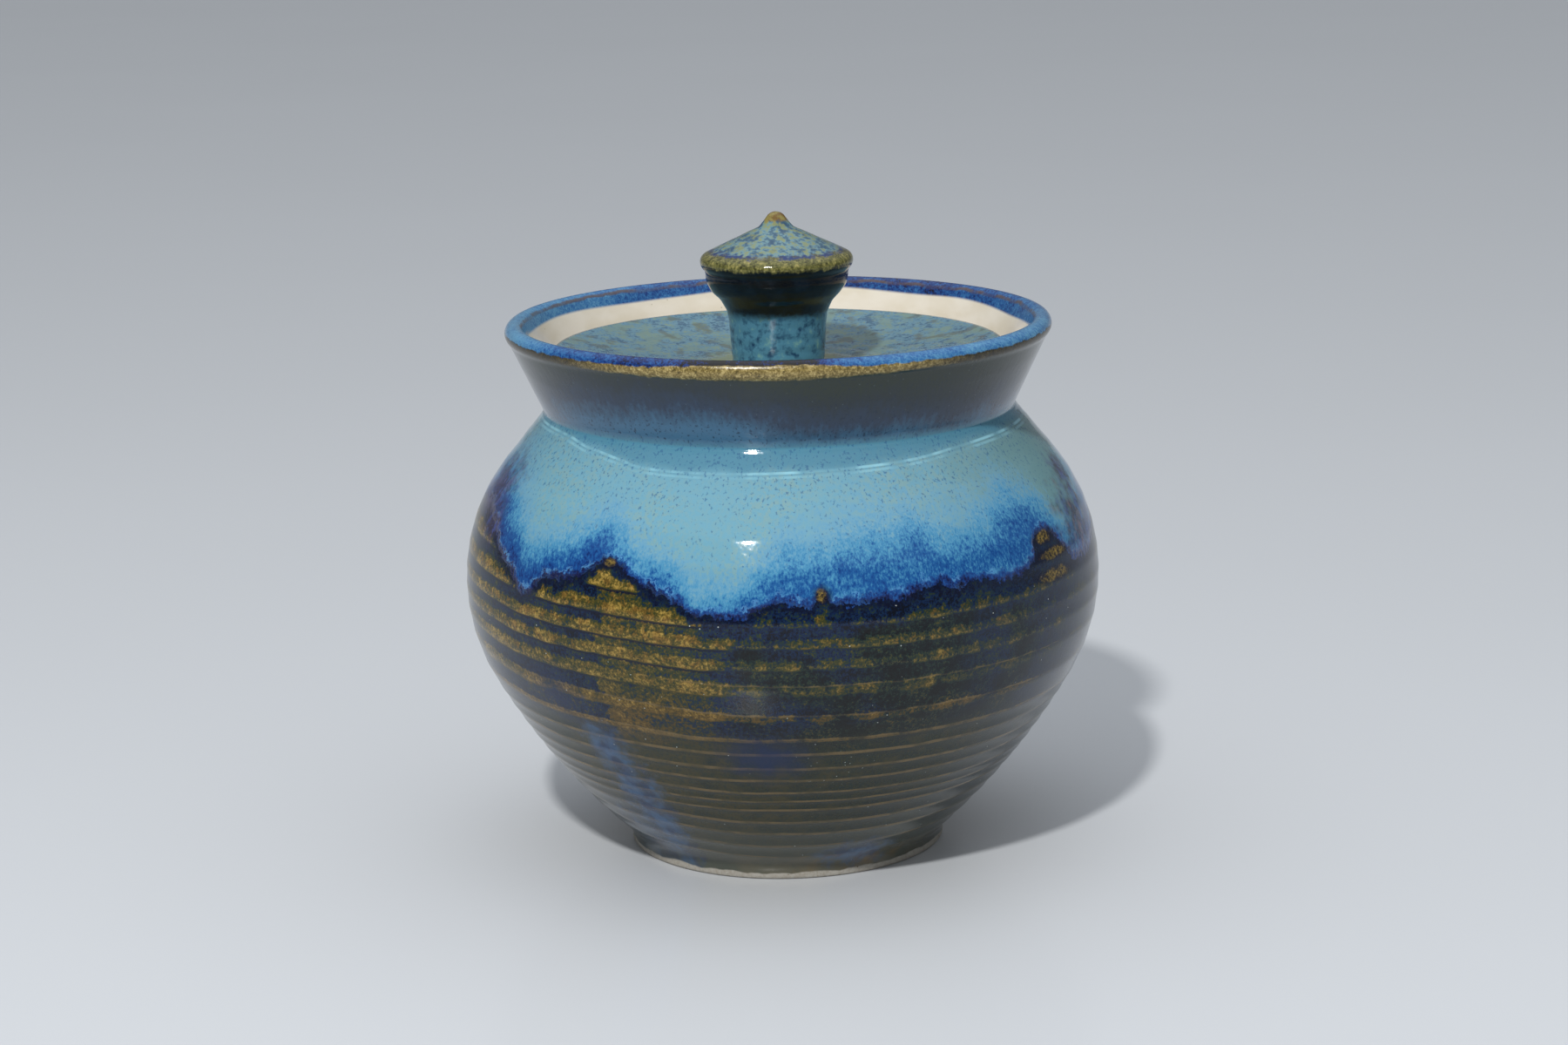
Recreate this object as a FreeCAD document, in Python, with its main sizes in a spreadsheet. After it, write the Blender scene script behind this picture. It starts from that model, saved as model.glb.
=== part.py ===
"""Stoneware bean pot with a lift-off lid, drawn as a potter's section drawings.

Three fired clay pieces: the thrown pot, the thrown lid plate that drops into the
pot's gallery, and the knob that is luted to the lid plate. Millimetres, +Z up,
origin at the middle of the foot's underside, on the wheel's axis.
"""

import FreeCAD
import Part
import Sketcher

import math
import os

# ---------------------------------------------------------------------------
# Driving dimensions, in millimetres and degrees
# ---------------------------------------------------------------------------

SIZES = {
    # pot, outside: widths step in from the belly, heights climb from it
    "belly_radius": 90.0,
    "belly_height": 78.0,
    "belly_arc_radius": 53.0,
    "lower_arc_radius": 200.0,
    "foot_step": 45.0,
    "foot_height": 4.0,
    "shoulder_angle": 39.3,
    "neck_step": 23.8,
    "collar_flare": 7.9,
    "collar_height": 25.2,
    "lip_bead_radius": 2.75,
    "lip_undercut_angle": 53.0,
    # pot, inside
    "wall_thickness": 6.0,
    "floor_thickness": 6.5,
    "throat_step": 9.2,
    "seat_width": 9.0,
    "seat_rise": 11.5,
    # foot ring
    "foot_ring_width": 7.0,
    "foot_recess_depth": 3.0,
    "foot_recess_draft": 0.6,
    # pot, softened edges
    "neck_fillet": 2.5,
    "foot_fillet": 0.8,
    "recess_fillet": 1.2,
    "floor_fillet": 9.0,
    "gallery_fillet": 1.5,
    "throat_fillet": 1.2,
    "ledge_fillet": 2.5,
    # lid plate
    "lid_clearance": 2.7,
    "lid_edge_thickness": 6.0,
    "lid_dish_radius": 240.0,
    "lid_plate_thickness": 6.0,
    "lid_edge_fillet": 1.8,
    "flange_clearance": 1.5,
    "flange_width": 5.5,
    "flange_depth": 9.0,
    "flange_fillet": 1.2,
    "pad_margin": 0.8,
    # knob: each width flares from the one below, each height climbs from it
    "stem_radius": 12.9,
    "stem_flare": 0.7,
    "stem_height": 13.5,
    "luting_fillet": 2.6,
    "luting_edge": 0.5,
    "hollow_arc_radius": 11.4,
    "cup_flare": 6.5,
    "cup_rise": 14.5,
    "cap_overhang": 1.5,
    "cap_rim_radius": 2.5,
    "cap_rise": 3.2,
    "tip_radius": 2.2,
    "cone_rise": 13.7,
}

# Radii and heights that follow from the driving dimensions, as the sheet works them out
FITTED = {
    # pot
    "foot_radius": "belly_radius - foot_step",
    "recess_radius": "foot_radius - foot_ring_width",
    "recess_top_radius": "recess_radius - foot_recess_draft",
    "floor_height": "foot_recess_depth + floor_thickness",
    "belly_centre_radius": "belly_radius - belly_arc_radius",
    "shoulder_radius": "belly_centre_radius + belly_arc_radius * cos(shoulder_angle)",
    "shoulder_height": "belly_height + belly_arc_radius * sin(shoulder_angle)",
    "neck_radius": "belly_radius - neck_step",
    "neck_height": "shoulder_height + (shoulder_radius - neck_radius) / tan(shoulder_angle)",
    "lip_radius": "neck_radius + collar_flare",
    "lip_height": "neck_height + collar_height - lip_bead_radius",
    "undercut_radius": "lip_radius + lip_bead_radius * cos(lip_undercut_angle)",
    "throat_radius": "neck_radius - throat_step",
    "gallery_radius": "throat_radius + seat_width",
    "seat_height": "neck_height + seat_rise",
    # lid plate, above the gallery's seat
    "lid_radius": "gallery_radius - lid_clearance",
    "flange_radius": "throat_radius - flange_clearance",
    "flange_bore": "flange_radius - flange_width",
    "pad_radius": "stem_radius + luting_fillet + pad_margin",
    "underside_radius": "lid_dish_radius + lid_plate_thickness",
    "dish_height": "lid_edge_thickness + sqrt(lid_dish_radius ^ 2 - lid_radius ^ 2)",
    "pad_height": "dish_height - sqrt(lid_dish_radius ^ 2 - pad_radius ^ 2)",
    # knob, above the lid's pad
    "luting_radius": "stem_radius + luting_fillet",
    "luting_height": "luting_edge + luting_fillet",
    "stem_top_radius": "stem_radius + stem_flare",
    "cup_radius": "stem_top_radius + cup_flare",
    "cup_height": "stem_height + cup_rise",
    "cap_radius": "cup_radius + cap_overhang - cap_rim_radius",
    "cap_height": "cup_height + cap_rise",
    "knob_height": "cap_height + cone_rise",
}

MODEL = FreeCAD.newDocument("bean_pot")
ORIGIN = (-1, 1)
START, END, CENTRE = 1, 2, 3


def fill_sheet():
    """Put every dimension in a sheet called Dim, each under its own alias."""
    sheet = MODEL.addObject("Spreadsheet::Sheet", "Dim")
    cells = {alias: str(value) for alias, value in SIZES.items()}
    cells.update({alias: f"={rule}" for alias, rule in FITTED.items()})
    for row, (alias, content) in enumerate(cells.items(), start=1):
        sheet.set(f"A{row}", alias)
        sheet.setAlias(f"B{row}", alias)
        sheet.set(f"B{row}", content)
    MODEL.recompute()
    return sheet


# ---------------------------------------------------------------------------
# Drawing helpers
# ---------------------------------------------------------------------------

class Section:
    """Half of a turned piece's section: radius along X, height along Y of the sketch.

    The edges are drawn where the sheet's values put them, and then tied to the
    sheet, so that each size has one place where it is set.
    """

    def __init__(self, body, name):
        plane = next(part for part in body.Origin.OriginFeatures if part.Role == "XZ_Plane")
        self.sketch = body.newObject("Sketcher::SketchObject", name)
        self.sketch.AttachmentSupport = [(plane, "")]
        self.sketch.MapMode = "FlatFace"

    def line(self, first, last):
        """A straight edge between two (radius, height) points."""
        return self.sketch.addGeometry(Part.LineSegment(point(*first), point(*last)), False)

    def arc(self, centre, radius, first_angle, last_angle):
        """A round edge, counter-clockwise between two angles in radians."""
        circle = Part.Circle(point(*centre), FreeCAD.Vector(0, 0, 1), radius)
        return self.sketch.addGeometry(Part.ArcOfCircle(circle, first_angle, last_angle), False)

    def tie(self, kind, *where):
        """A constraint with no size of its own, such as Horizontal or Tangent."""
        self.sketch.addConstraint(Sketcher.Constraint(kind, *where))

    def join(self, *corners):
        """Coincident corners, each an edge and its end twice over."""
        for corner in corners:
            self.tie("Coincident", *corner)

    def smooth(self, *corners):
        """Corners where one edge runs into the next without a kink."""
        for corner in corners:
            self.tie("Tangent", *corner)

    def follow(self, kind, where, value, expression):
        """A dimension that follows an expression on the sheet."""
        index = self.sketch.addConstraint(Sketcher.Constraint(kind, *where, value))
        self.sketch.setExpression(f"Constraints[{index}]", expression)

    def radius_at(self, edge, end, expression):
        """How far a point stands from the wheel's axis."""
        place = self.sketch.getPoint(edge, end)
        self.follow("DistanceX", (*ORIGIN, edge, end), place.x, expression)

    def height_at(self, edge, end, expression):
        """How high a point stands above the table."""
        place = self.sketch.getPoint(edge, end)
        self.follow("DistanceY", (*ORIGIN, edge, end), place.y, expression)

    def round_to(self, edge, expression):
        """The radius of a round edge."""
        self.follow("Radius", (edge,), self.sketch.Geometry[edge].Radius, expression)

    def on_axis(self, *ends):
        """Points that lie on the wheel's axis."""
        for edge, end in ends:
            self.tie("PointOnObject", edge, end, -2)


def point(radius, height):
    return FreeCAD.Vector(radius, height, 0)


def turn(body, section, name):
    """Spin a section once round the wheel's axis."""
    feature = body.newObject("PartDesign::Revolution", name)
    feature.Profile = section.sketch
    feature.ReferenceAxis = (section.sketch, ["V_Axis"])
    feature.Angle = 360.0
    MODEL.recompute()
    return feature


def rings(feature, radius, height, reach=0.05):
    """Names of the feature's round edges at one radius and height."""
    found = []
    for number, edge in enumerate(feature.Shape.Edges, start=1):
        if edge.Degenerated or not isinstance(edge.Curve, Part.Circle):
            continue
        ring = edge.Curve
        if abs(ring.Radius - radius) < reach and abs(ring.Center.z - height) < reach:
            found.append(f"Edge{number}")
    return found


def soften(body, base, name, alias, edge_names):
    """Round off some edges of the feature before, by a radius on the sheet."""
    feature = body.newObject("PartDesign::Fillet", name)
    feature.Base = (base, edge_names)
    feature.setExpression("Radius", f"Dim.{alias}")
    MODEL.recompute()
    return feature


def new_body(label):
    body = MODEL.addObject("PartDesign::Body", label)
    body.Label = label
    return body


# ---------------------------------------------------------------------------
# Plane geometry for the first drawing of each section
# ---------------------------------------------------------------------------

def on_circle(centre, radius, angle):
    return (centre[0] + radius * math.cos(angle), centre[1] + radius * math.sin(angle))


def heading(first, last):
    """Direction from one point to another, in radians."""
    return math.atan2(last[1] - first[1], last[0] - first[0])


def touch_angle(centre, radius, outside, side):
    """Angle on a circle where the tangent from an outside point touches it."""
    return heading(centre, outside) + side * math.acos(radius / math.dist(centre, outside))


def crossing(first_centre, first_radius, last_centre, last_radius, side):
    """One of the two points where two circles cross."""
    apart = math.dist(first_centre, last_centre)
    along = (first_radius ** 2 - last_radius ** 2 + apart ** 2) / (2 * apart)
    swing = math.acos(along / first_radius)
    return on_circle(first_centre, first_radius, heading(first_centre, last_centre) + side * swing)


# ---------------------------------------------------------------------------
# Pot: one thrown wall from the turned foot to the lip
# ---------------------------------------------------------------------------

def pot_section(body, dim):
    """The wall's section, round from the foot ring, up the outside and back down the inside."""
    wall = dim.wall_thickness
    foot = (dim.foot_radius, dim.foot_height)
    neck = (dim.neck_radius, dim.neck_height)
    belly = (dim.belly_centre_radius, dim.belly_height)
    bead = (dim.lip_radius, dim.lip_height)
    seat = (dim.gallery_radius, dim.seat_height)
    floor = dim.floor_height
    recess = dim.recess_radius

    hull = crossing(belly, dim.lower_arc_radius - dim.belly_arc_radius, foot, dim.lower_arc_radius, -1)
    low = heading(hull, belly)
    high = math.radians(dim.shoulder_angle)
    undercut = -math.radians(dim.lip_undercut_angle)
    inner_lip = touch_angle(bead, dim.lip_bead_radius, seat, -1) % (2 * math.pi)
    inner_belly = dim.belly_arc_radius - wall
    inner_hull = dim.lower_arc_radius - wall
    floor_angle = math.asin((floor - hull[1]) / inner_hull)
    inner_shoulder = on_circle(belly, inner_belly, high)
    climb = (inner_shoulder[0] - dim.throat_radius) / math.tan(high)
    ledge = (dim.throat_radius, inner_shoulder[1] + climb)
    floor_edge = on_circle(hull, inner_hull, floor_angle)

    draw = Section(body, "wall_section")
    foot_face = draw.line((recess, 0), (dim.foot_radius, 0))
    foot_side = draw.line((dim.foot_radius, 0), foot)
    outer_low = draw.arc(hull, dim.lower_arc_radius, heading(hull, foot), low)
    outer_belly = draw.arc(belly, dim.belly_arc_radius, low, high)
    shoulder = draw.line(on_circle(belly, dim.belly_arc_radius, high), neck)
    collar = draw.line(neck, on_circle(bead, dim.lip_bead_radius, undercut))
    lip = draw.arc(bead, dim.lip_bead_radius, undercut, inner_lip)
    gallery_wall = draw.line(on_circle(bead, dim.lip_bead_radius, inner_lip), seat)
    gallery_seat = draw.line(seat, (dim.throat_radius, dim.seat_height))
    throat = draw.line((dim.throat_radius, dim.seat_height), ledge)
    under_shoulder = draw.line(ledge, inner_shoulder)
    belly_inside = draw.arc(belly, inner_belly, low, high)
    low_inside = draw.arc(hull, inner_hull, floor_angle, low)
    floor_top = draw.line(floor_edge, (0, floor))
    axis = draw.line((0, floor), (0, dim.foot_recess_depth))
    recess_top = draw.line((0, dim.foot_recess_depth), (dim.recess_top_radius, dim.foot_recess_depth))
    recess_side = draw.line((dim.recess_top_radius, dim.foot_recess_depth), (recess, 0))

    draw.join((foot_face, END, foot_side, START), (foot_side, END, outer_low, START),
              (shoulder, END, collar, START), (collar, END, lip, START),
              (gallery_wall, END, gallery_seat, START), (gallery_seat, END, throat, START),
              (throat, END, under_shoulder, START), (low_inside, START, floor_top, START),
              (floor_top, END, axis, START), (axis, END, recess_top, START),
              (recess_top, END, recess_side, START), (recess_side, END, foot_face, START))
    draw.smooth((outer_low, END, outer_belly, START), (outer_belly, END, shoulder, START),
                (lip, END, gallery_wall, START), (under_shoulder, END, belly_inside, END),
                (belly_inside, START, low_inside, END))
    draw.join((belly_inside, CENTRE, outer_belly, CENTRE), (low_inside, CENTRE, outer_low, CENTRE))
    for level in (foot_face, gallery_seat, floor_top, recess_top):
        draw.tie("Horizontal", level)
    for upright in (foot_side, throat):
        draw.tie("Vertical", upright)
    draw.tie("Parallel", under_shoulder, shoulder)
    draw.on_axis((axis, START), (axis, END))

    draw.height_at(foot_face, START, "0")
    draw.radius_at(foot_face, START, "Dim.recess_radius")
    draw.radius_at(foot_face, END, "Dim.foot_radius")
    draw.height_at(foot_side, END, "Dim.foot_height")
    draw.round_to(outer_low, "Dim.lower_arc_radius")
    draw.round_to(outer_belly, "Dim.belly_arc_radius")
    draw.radius_at(outer_belly, CENTRE, "Dim.belly_centre_radius")
    draw.height_at(outer_belly, CENTRE, "Dim.belly_height")
    draw.radius_at(shoulder, END, "Dim.neck_radius")
    draw.height_at(shoulder, END, "Dim.neck_height")
    draw.round_to(lip, "Dim.lip_bead_radius")
    draw.radius_at(lip, CENTRE, "Dim.lip_radius")
    draw.height_at(lip, CENTRE, "Dim.lip_height")
    draw.radius_at(lip, START, "Dim.undercut_radius")
    draw.radius_at(gallery_seat, START, "Dim.gallery_radius")
    draw.height_at(gallery_seat, START, "Dim.seat_height")
    draw.radius_at(gallery_seat, END, "Dim.throat_radius")
    draw.round_to(belly_inside, "Dim.belly_arc_radius - Dim.wall_thickness")
    draw.height_at(axis, START, "Dim.floor_height")
    draw.height_at(axis, END, "Dim.foot_recess_depth")
    draw.radius_at(recess_top, END, "Dim.recess_top_radius")
    return draw, floor_edge, ledge


def make_pot(dim):
    """The pot: its wall section turned once round, then its corners softened."""
    body = new_body("pot_body")
    draw, floor_edge, ledge = pot_section(body, dim)
    softened = (
        ("foot_edge", "foot_fillet", (dim.foot_radius, 0)),
        ("foot_ring_edge", "foot_fillet", (dim.recess_radius, 0)),
        ("recess_corner", "recess_fillet", (dim.recess_top_radius, dim.foot_recess_depth)),
        ("neck_crease", "neck_fillet", (dim.neck_radius, dim.neck_height)),
        ("floor_corner", "floor_fillet", floor_edge),
        ("gallery_corner", "gallery_fillet", (dim.gallery_radius, dim.seat_height)),
        ("throat_edge", "throat_fillet", (dim.throat_radius, dim.seat_height)),
        ("ledge_edge", "ledge_fillet", ledge),
    )
    feature = turn(body, draw, "thrown_wall")
    for name, alias, corner in softened:
        feature = soften(body, feature, name, alias, rings(feature, *corner))
    return body


# ---------------------------------------------------------------------------
# Lid plate: a shallow dish on the gallery's seat, with a flange in the throat
# ---------------------------------------------------------------------------

def lid_section(body, dim):
    """The lid plate's section, with the gallery's seat at height 0."""
    flange_out, flange_in = dim.flange_radius, dim.flange_bore
    centre = (0, dim.dish_height)
    top, under = dim.lid_dish_radius, dim.underside_radius
    pad = (dim.pad_radius, dim.pad_height)
    down = -math.pi / 2
    root_angle = down + math.asin(flange_in / under)
    root = on_circle(centre, under, root_angle)
    edge_angle = down + math.asin(dim.lid_radius / top)
    pad_angle = down + math.asin(dim.pad_radius / top)

    draw = Section(body, "plate_section")
    underside = draw.arc(centre, under, down, root_angle)
    flange_inside = draw.line(root, (flange_in, -dim.flange_depth))
    flange_foot = draw.line((flange_in, -dim.flange_depth), (flange_out, -dim.flange_depth))
    flange_outside = draw.line((flange_out, -dim.flange_depth), (flange_out, 0))
    seat_face = draw.line((flange_out, 0), (dim.lid_radius, 0))
    edge = draw.line((dim.lid_radius, 0), (dim.lid_radius, dim.lid_edge_thickness))
    dish = draw.arc(centre, top, pad_angle, edge_angle)
    knob_pad = draw.line(pad, (0, dim.pad_height))
    axis = draw.line((0, dim.pad_height), (0, centre[1] - under))

    draw.join((underside, END, flange_inside, START), (flange_inside, END, flange_foot, START),
              (flange_foot, END, flange_outside, START), (flange_outside, END, seat_face, START),
              (seat_face, END, edge, START), (edge, END, dish, END), (dish, START, knob_pad, START),
              (knob_pad, END, axis, START), (axis, END, underside, START),
              (underside, CENTRE, dish, CENTRE))
    for level in (flange_foot, seat_face, knob_pad):
        draw.tie("Horizontal", level)
    for upright in (flange_inside, flange_outside, edge):
        draw.tie("Vertical", upright)
    draw.on_axis((axis, START), (axis, END), (dish, CENTRE))

    draw.round_to(dish, "Dim.lid_dish_radius")
    draw.round_to(underside, "Dim.underside_radius")
    draw.radius_at(flange_foot, START, "Dim.flange_bore")
    draw.radius_at(flange_foot, END, "Dim.flange_radius")
    draw.height_at(flange_foot, START, "-Dim.flange_depth")
    draw.height_at(seat_face, START, "0")
    draw.radius_at(seat_face, END, "Dim.lid_radius")
    draw.height_at(edge, END, "Dim.lid_edge_thickness")
    draw.radius_at(knob_pad, START, "Dim.pad_radius")
    return draw, root


def make_lid_plate(dim):
    """The lid plate, standing with its rim on the gallery's seat."""
    body = new_body("lid_plate")
    draw, root = lid_section(body, dim)
    softened = (
        ("top_edge", "lid_edge_fillet", (dim.lid_radius, dim.lid_edge_thickness)),
        ("seat_edge", "flange_fillet", (dim.lid_radius, 0)),
        ("flange_outer_edge", "flange_fillet", (dim.flange_radius, -dim.flange_depth)),
        ("flange_inner_edge", "flange_fillet", (dim.flange_bore, -dim.flange_depth)),
        ("flange_root", "flange_fillet", root),
    )
    feature = turn(body, draw, "thrown_plate")
    for name, alias, corner in softened:
        feature = soften(body, feature, name, alias, rings(feature, *corner))
    body.setExpression("Placement.Base.z", "Dim.seat_height")
    return body


# ---------------------------------------------------------------------------
# Knob: stem, flared cup and pointed cap, luted to the lid's pad
# ---------------------------------------------------------------------------

def knob_section(body, dim):
    """The knob's section, with the lid's pad at height 0."""
    foot = dim.luting_radius
    coil = (foot, dim.luting_height)
    stem_top = (dim.stem_top_radius, dim.stem_height)
    hollow = (dim.stem_top_radius + dim.hollow_arc_radius, dim.stem_height)
    bend = 2 * math.atan(dim.cup_flare / dim.cup_rise)
    cup_arc = dim.cup_rise / math.sin(bend) - dim.hollow_arc_radius
    cup = (dim.cup_radius - cup_arc, dim.cup_height)
    cap = (dim.cap_radius, dim.cap_height)
    tip = (0, dim.knob_height - dim.tip_radius)
    under_cap = -math.acos((dim.cup_radius - dim.cap_radius) / dim.cap_rim_radius)
    cone = heading(cap, tip) - math.acos((dim.cap_rim_radius - dim.tip_radius) / math.dist(cap, tip))

    draw = Section(body, "knob_section")
    base = draw.line((0, 0), (foot, 0))
    base_edge = draw.line((foot, 0), (foot, dim.luting_edge))
    luting = draw.arc(coil, dim.luting_fillet, math.pi, 1.5 * math.pi)
    stem = draw.line((dim.stem_radius, coil[1]), stem_top)
    hollow_side = draw.arc(hollow, dim.hollow_arc_radius, math.pi - bend, math.pi)
    cup_side = draw.arc(cup, cup_arc, -bend, 0)
    cup_lip = draw.line((dim.cup_radius, dim.cup_height), on_circle(cap, dim.cap_rim_radius, under_cap))
    cap_rim = draw.arc(cap, dim.cap_rim_radius, under_cap, cone)
    cone_side = draw.line(on_circle(cap, dim.cap_rim_radius, cone), on_circle(tip, dim.tip_radius, cone))
    tip_ball = draw.arc(tip, dim.tip_radius, cone, math.pi / 2)
    axis = draw.line((0, dim.knob_height), (0, 0))

    draw.join((base, END, base_edge, START), (base_edge, END, luting, END), (luting, START, stem, START),
              (stem, END, hollow_side, END), (cup_side, END, cup_lip, START),
              (cup_lip, END, cap_rim, START), (tip_ball, END, axis, START), (axis, END, base, START))
    draw.smooth((hollow_side, START, cup_side, START), (cap_rim, END, cone_side, START),
                (cone_side, END, tip_ball, START))
    draw.tie("Horizontal", base)
    for upright in (base_edge, cup_lip):
        draw.tie("Vertical", upright)
    draw.on_axis((axis, START), (axis, END), (tip_ball, CENTRE))
    draw.tie("Horizontal", cup_side, END, cup_side, CENTRE)
    draw.tie("Horizontal", hollow_side, END, hollow_side, CENTRE)
    draw.tie("Vertical", base_edge, END, luting, CENTRE)
    draw.tie("Horizontal", luting, START, luting, CENTRE)

    draw.height_at(base, START, "0")
    draw.radius_at(base, END, "Dim.luting_radius")
    draw.height_at(base_edge, END, "Dim.luting_edge")
    draw.radius_at(stem, START, "Dim.stem_radius")
    draw.radius_at(stem, END, "Dim.stem_top_radius")
    draw.height_at(stem, END, "Dim.stem_height")
    draw.round_to(hollow_side, "Dim.hollow_arc_radius")
    draw.radius_at(cup_side, END, "Dim.cup_radius")
    draw.height_at(cup_side, END, "Dim.cup_height")
    draw.round_to(cap_rim, "Dim.cap_rim_radius")
    draw.radius_at(cap_rim, CENTRE, "Dim.cap_radius")
    draw.height_at(cap_rim, CENTRE, "Dim.cap_height")
    draw.round_to(tip_ball, "Dim.tip_radius")
    draw.height_at(axis, START, "Dim.knob_height")
    return draw


def make_knob(dim):
    """The knob, one solid piece of clay on the lid's pad."""
    body = new_body("lid_knob")
    turn(body, knob_section(body, dim), "thrown_knob")
    body.setExpression("Placement.Base.z", "Dim.seat_height + Dim.pad_height")
    return body


# ---------------------------------------------------------------------------
# Build, check and write
# ---------------------------------------------------------------------------

class Dimensions:
    """The sheet's values, read by name."""

    def __init__(self, sheet):
        self.sheet = sheet

    def __getattr__(self, alias):
        return float(self.sheet.get(alias))


def check_document():
    """Stop if any object of the document failed to compute."""
    MODEL.recompute()
    for part in MODEL.Objects:
        if "Invalid" in part.State or "Error" in part.State:
            raise RuntimeError(f"{part.Label} did not compute: {part.State}")
        if part.TypeId == "Sketcher::SketchObject" and part.solve() != 0:
            raise RuntimeError(f"{part.Label} can't be solved")


def write_piece(body):
    """Write one body's solid to its own STEP file, once it is proved whole."""
    shape = body.Shape
    if shape.isNull() or not shape.isValid() or len(shape.Solids) != 1:
        raise RuntimeError(f"{body.Label} is not one valid solid")
    shape.exportStep(os.path.join("parts", f"{body.Label}.step"))
    box = shape.optimalBoundingBox(False)
    print(f"{body.Label}: {shape.Volume / 1000:.1f} cm3, radius {box.XMax:.2f},"
          f" height {box.ZMin:.2f} to {box.ZMax:.2f}")


def main():
    dim = Dimensions(fill_sheet())
    bodies = [make_pot(dim), make_lid_plate(dim), make_knob(dim)]
    check_document()
    os.makedirs("parts", exist_ok=True)
    for body in bodies:
        write_piece(body)


main()
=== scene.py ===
"""A stoneware bean pot: a thrown pot, a dished lid that drops in its gallery, and the lid's knob.

Radii, heights and distances are in millimetres until a mesh is made, and angles are in
degrees round the wheel's axis from the front, growing to the right. The axis is Z.
"""

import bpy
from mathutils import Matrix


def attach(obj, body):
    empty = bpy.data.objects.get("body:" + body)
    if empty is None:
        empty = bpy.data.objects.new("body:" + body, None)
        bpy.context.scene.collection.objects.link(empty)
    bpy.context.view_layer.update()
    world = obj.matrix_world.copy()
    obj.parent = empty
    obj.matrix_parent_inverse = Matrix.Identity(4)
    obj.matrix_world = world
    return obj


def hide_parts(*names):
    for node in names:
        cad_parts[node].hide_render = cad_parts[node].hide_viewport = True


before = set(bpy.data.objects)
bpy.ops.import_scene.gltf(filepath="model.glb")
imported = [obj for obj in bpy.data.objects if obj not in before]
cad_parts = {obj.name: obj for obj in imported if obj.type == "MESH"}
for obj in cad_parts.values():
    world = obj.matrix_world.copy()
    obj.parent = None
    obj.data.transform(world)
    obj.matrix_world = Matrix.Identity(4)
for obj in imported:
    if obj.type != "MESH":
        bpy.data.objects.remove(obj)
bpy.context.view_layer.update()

import logging
import math
from dataclasses import dataclass, field
from enum import Enum

import bpy
import numpy as np
from mathutils import Matrix, Vector

LOG = logging.getLogger("bean_pot")
METRE = 1000.0
GLAZE_IOR = 1.43
Socket = bpy.types.NodeSocket
Amount = float | Socket
Colour = tuple[float, float, float, float]
Place = tuple[float, float]


class Body(Enum):
    """The bodies of the frame that the pieces ride on."""

    POT = "pot"
    LID = "lid"


class Slot(Enum):
    """The record's material slots."""

    POT = "pot_glaze"
    LID = "lid_glaze"
    KNOB = "knob_glaze"


def fired(red: int, green: int, blue: int) -> Colour:
    """Turn a fired colour, as a screen shows it, into the shader's linear light.

    Args:
        red: Red from 0 to 255.
        green: Green from 0 to 255.
        blue: Blue from 0 to 255.

    Returns:
        The linear colour with full alpha.
    """
    linear = [((c / 255 + 0.055) / 1.055) ** 2.4 if c > 10 else c / 255 / 12.92 for c in (red, green, blue)]
    return (*linear, 1.0)


# ---------------------------------------------------------------------------
# Node graphs, for the glazes and for the wheel alike
# ---------------------------------------------------------------------------


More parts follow.
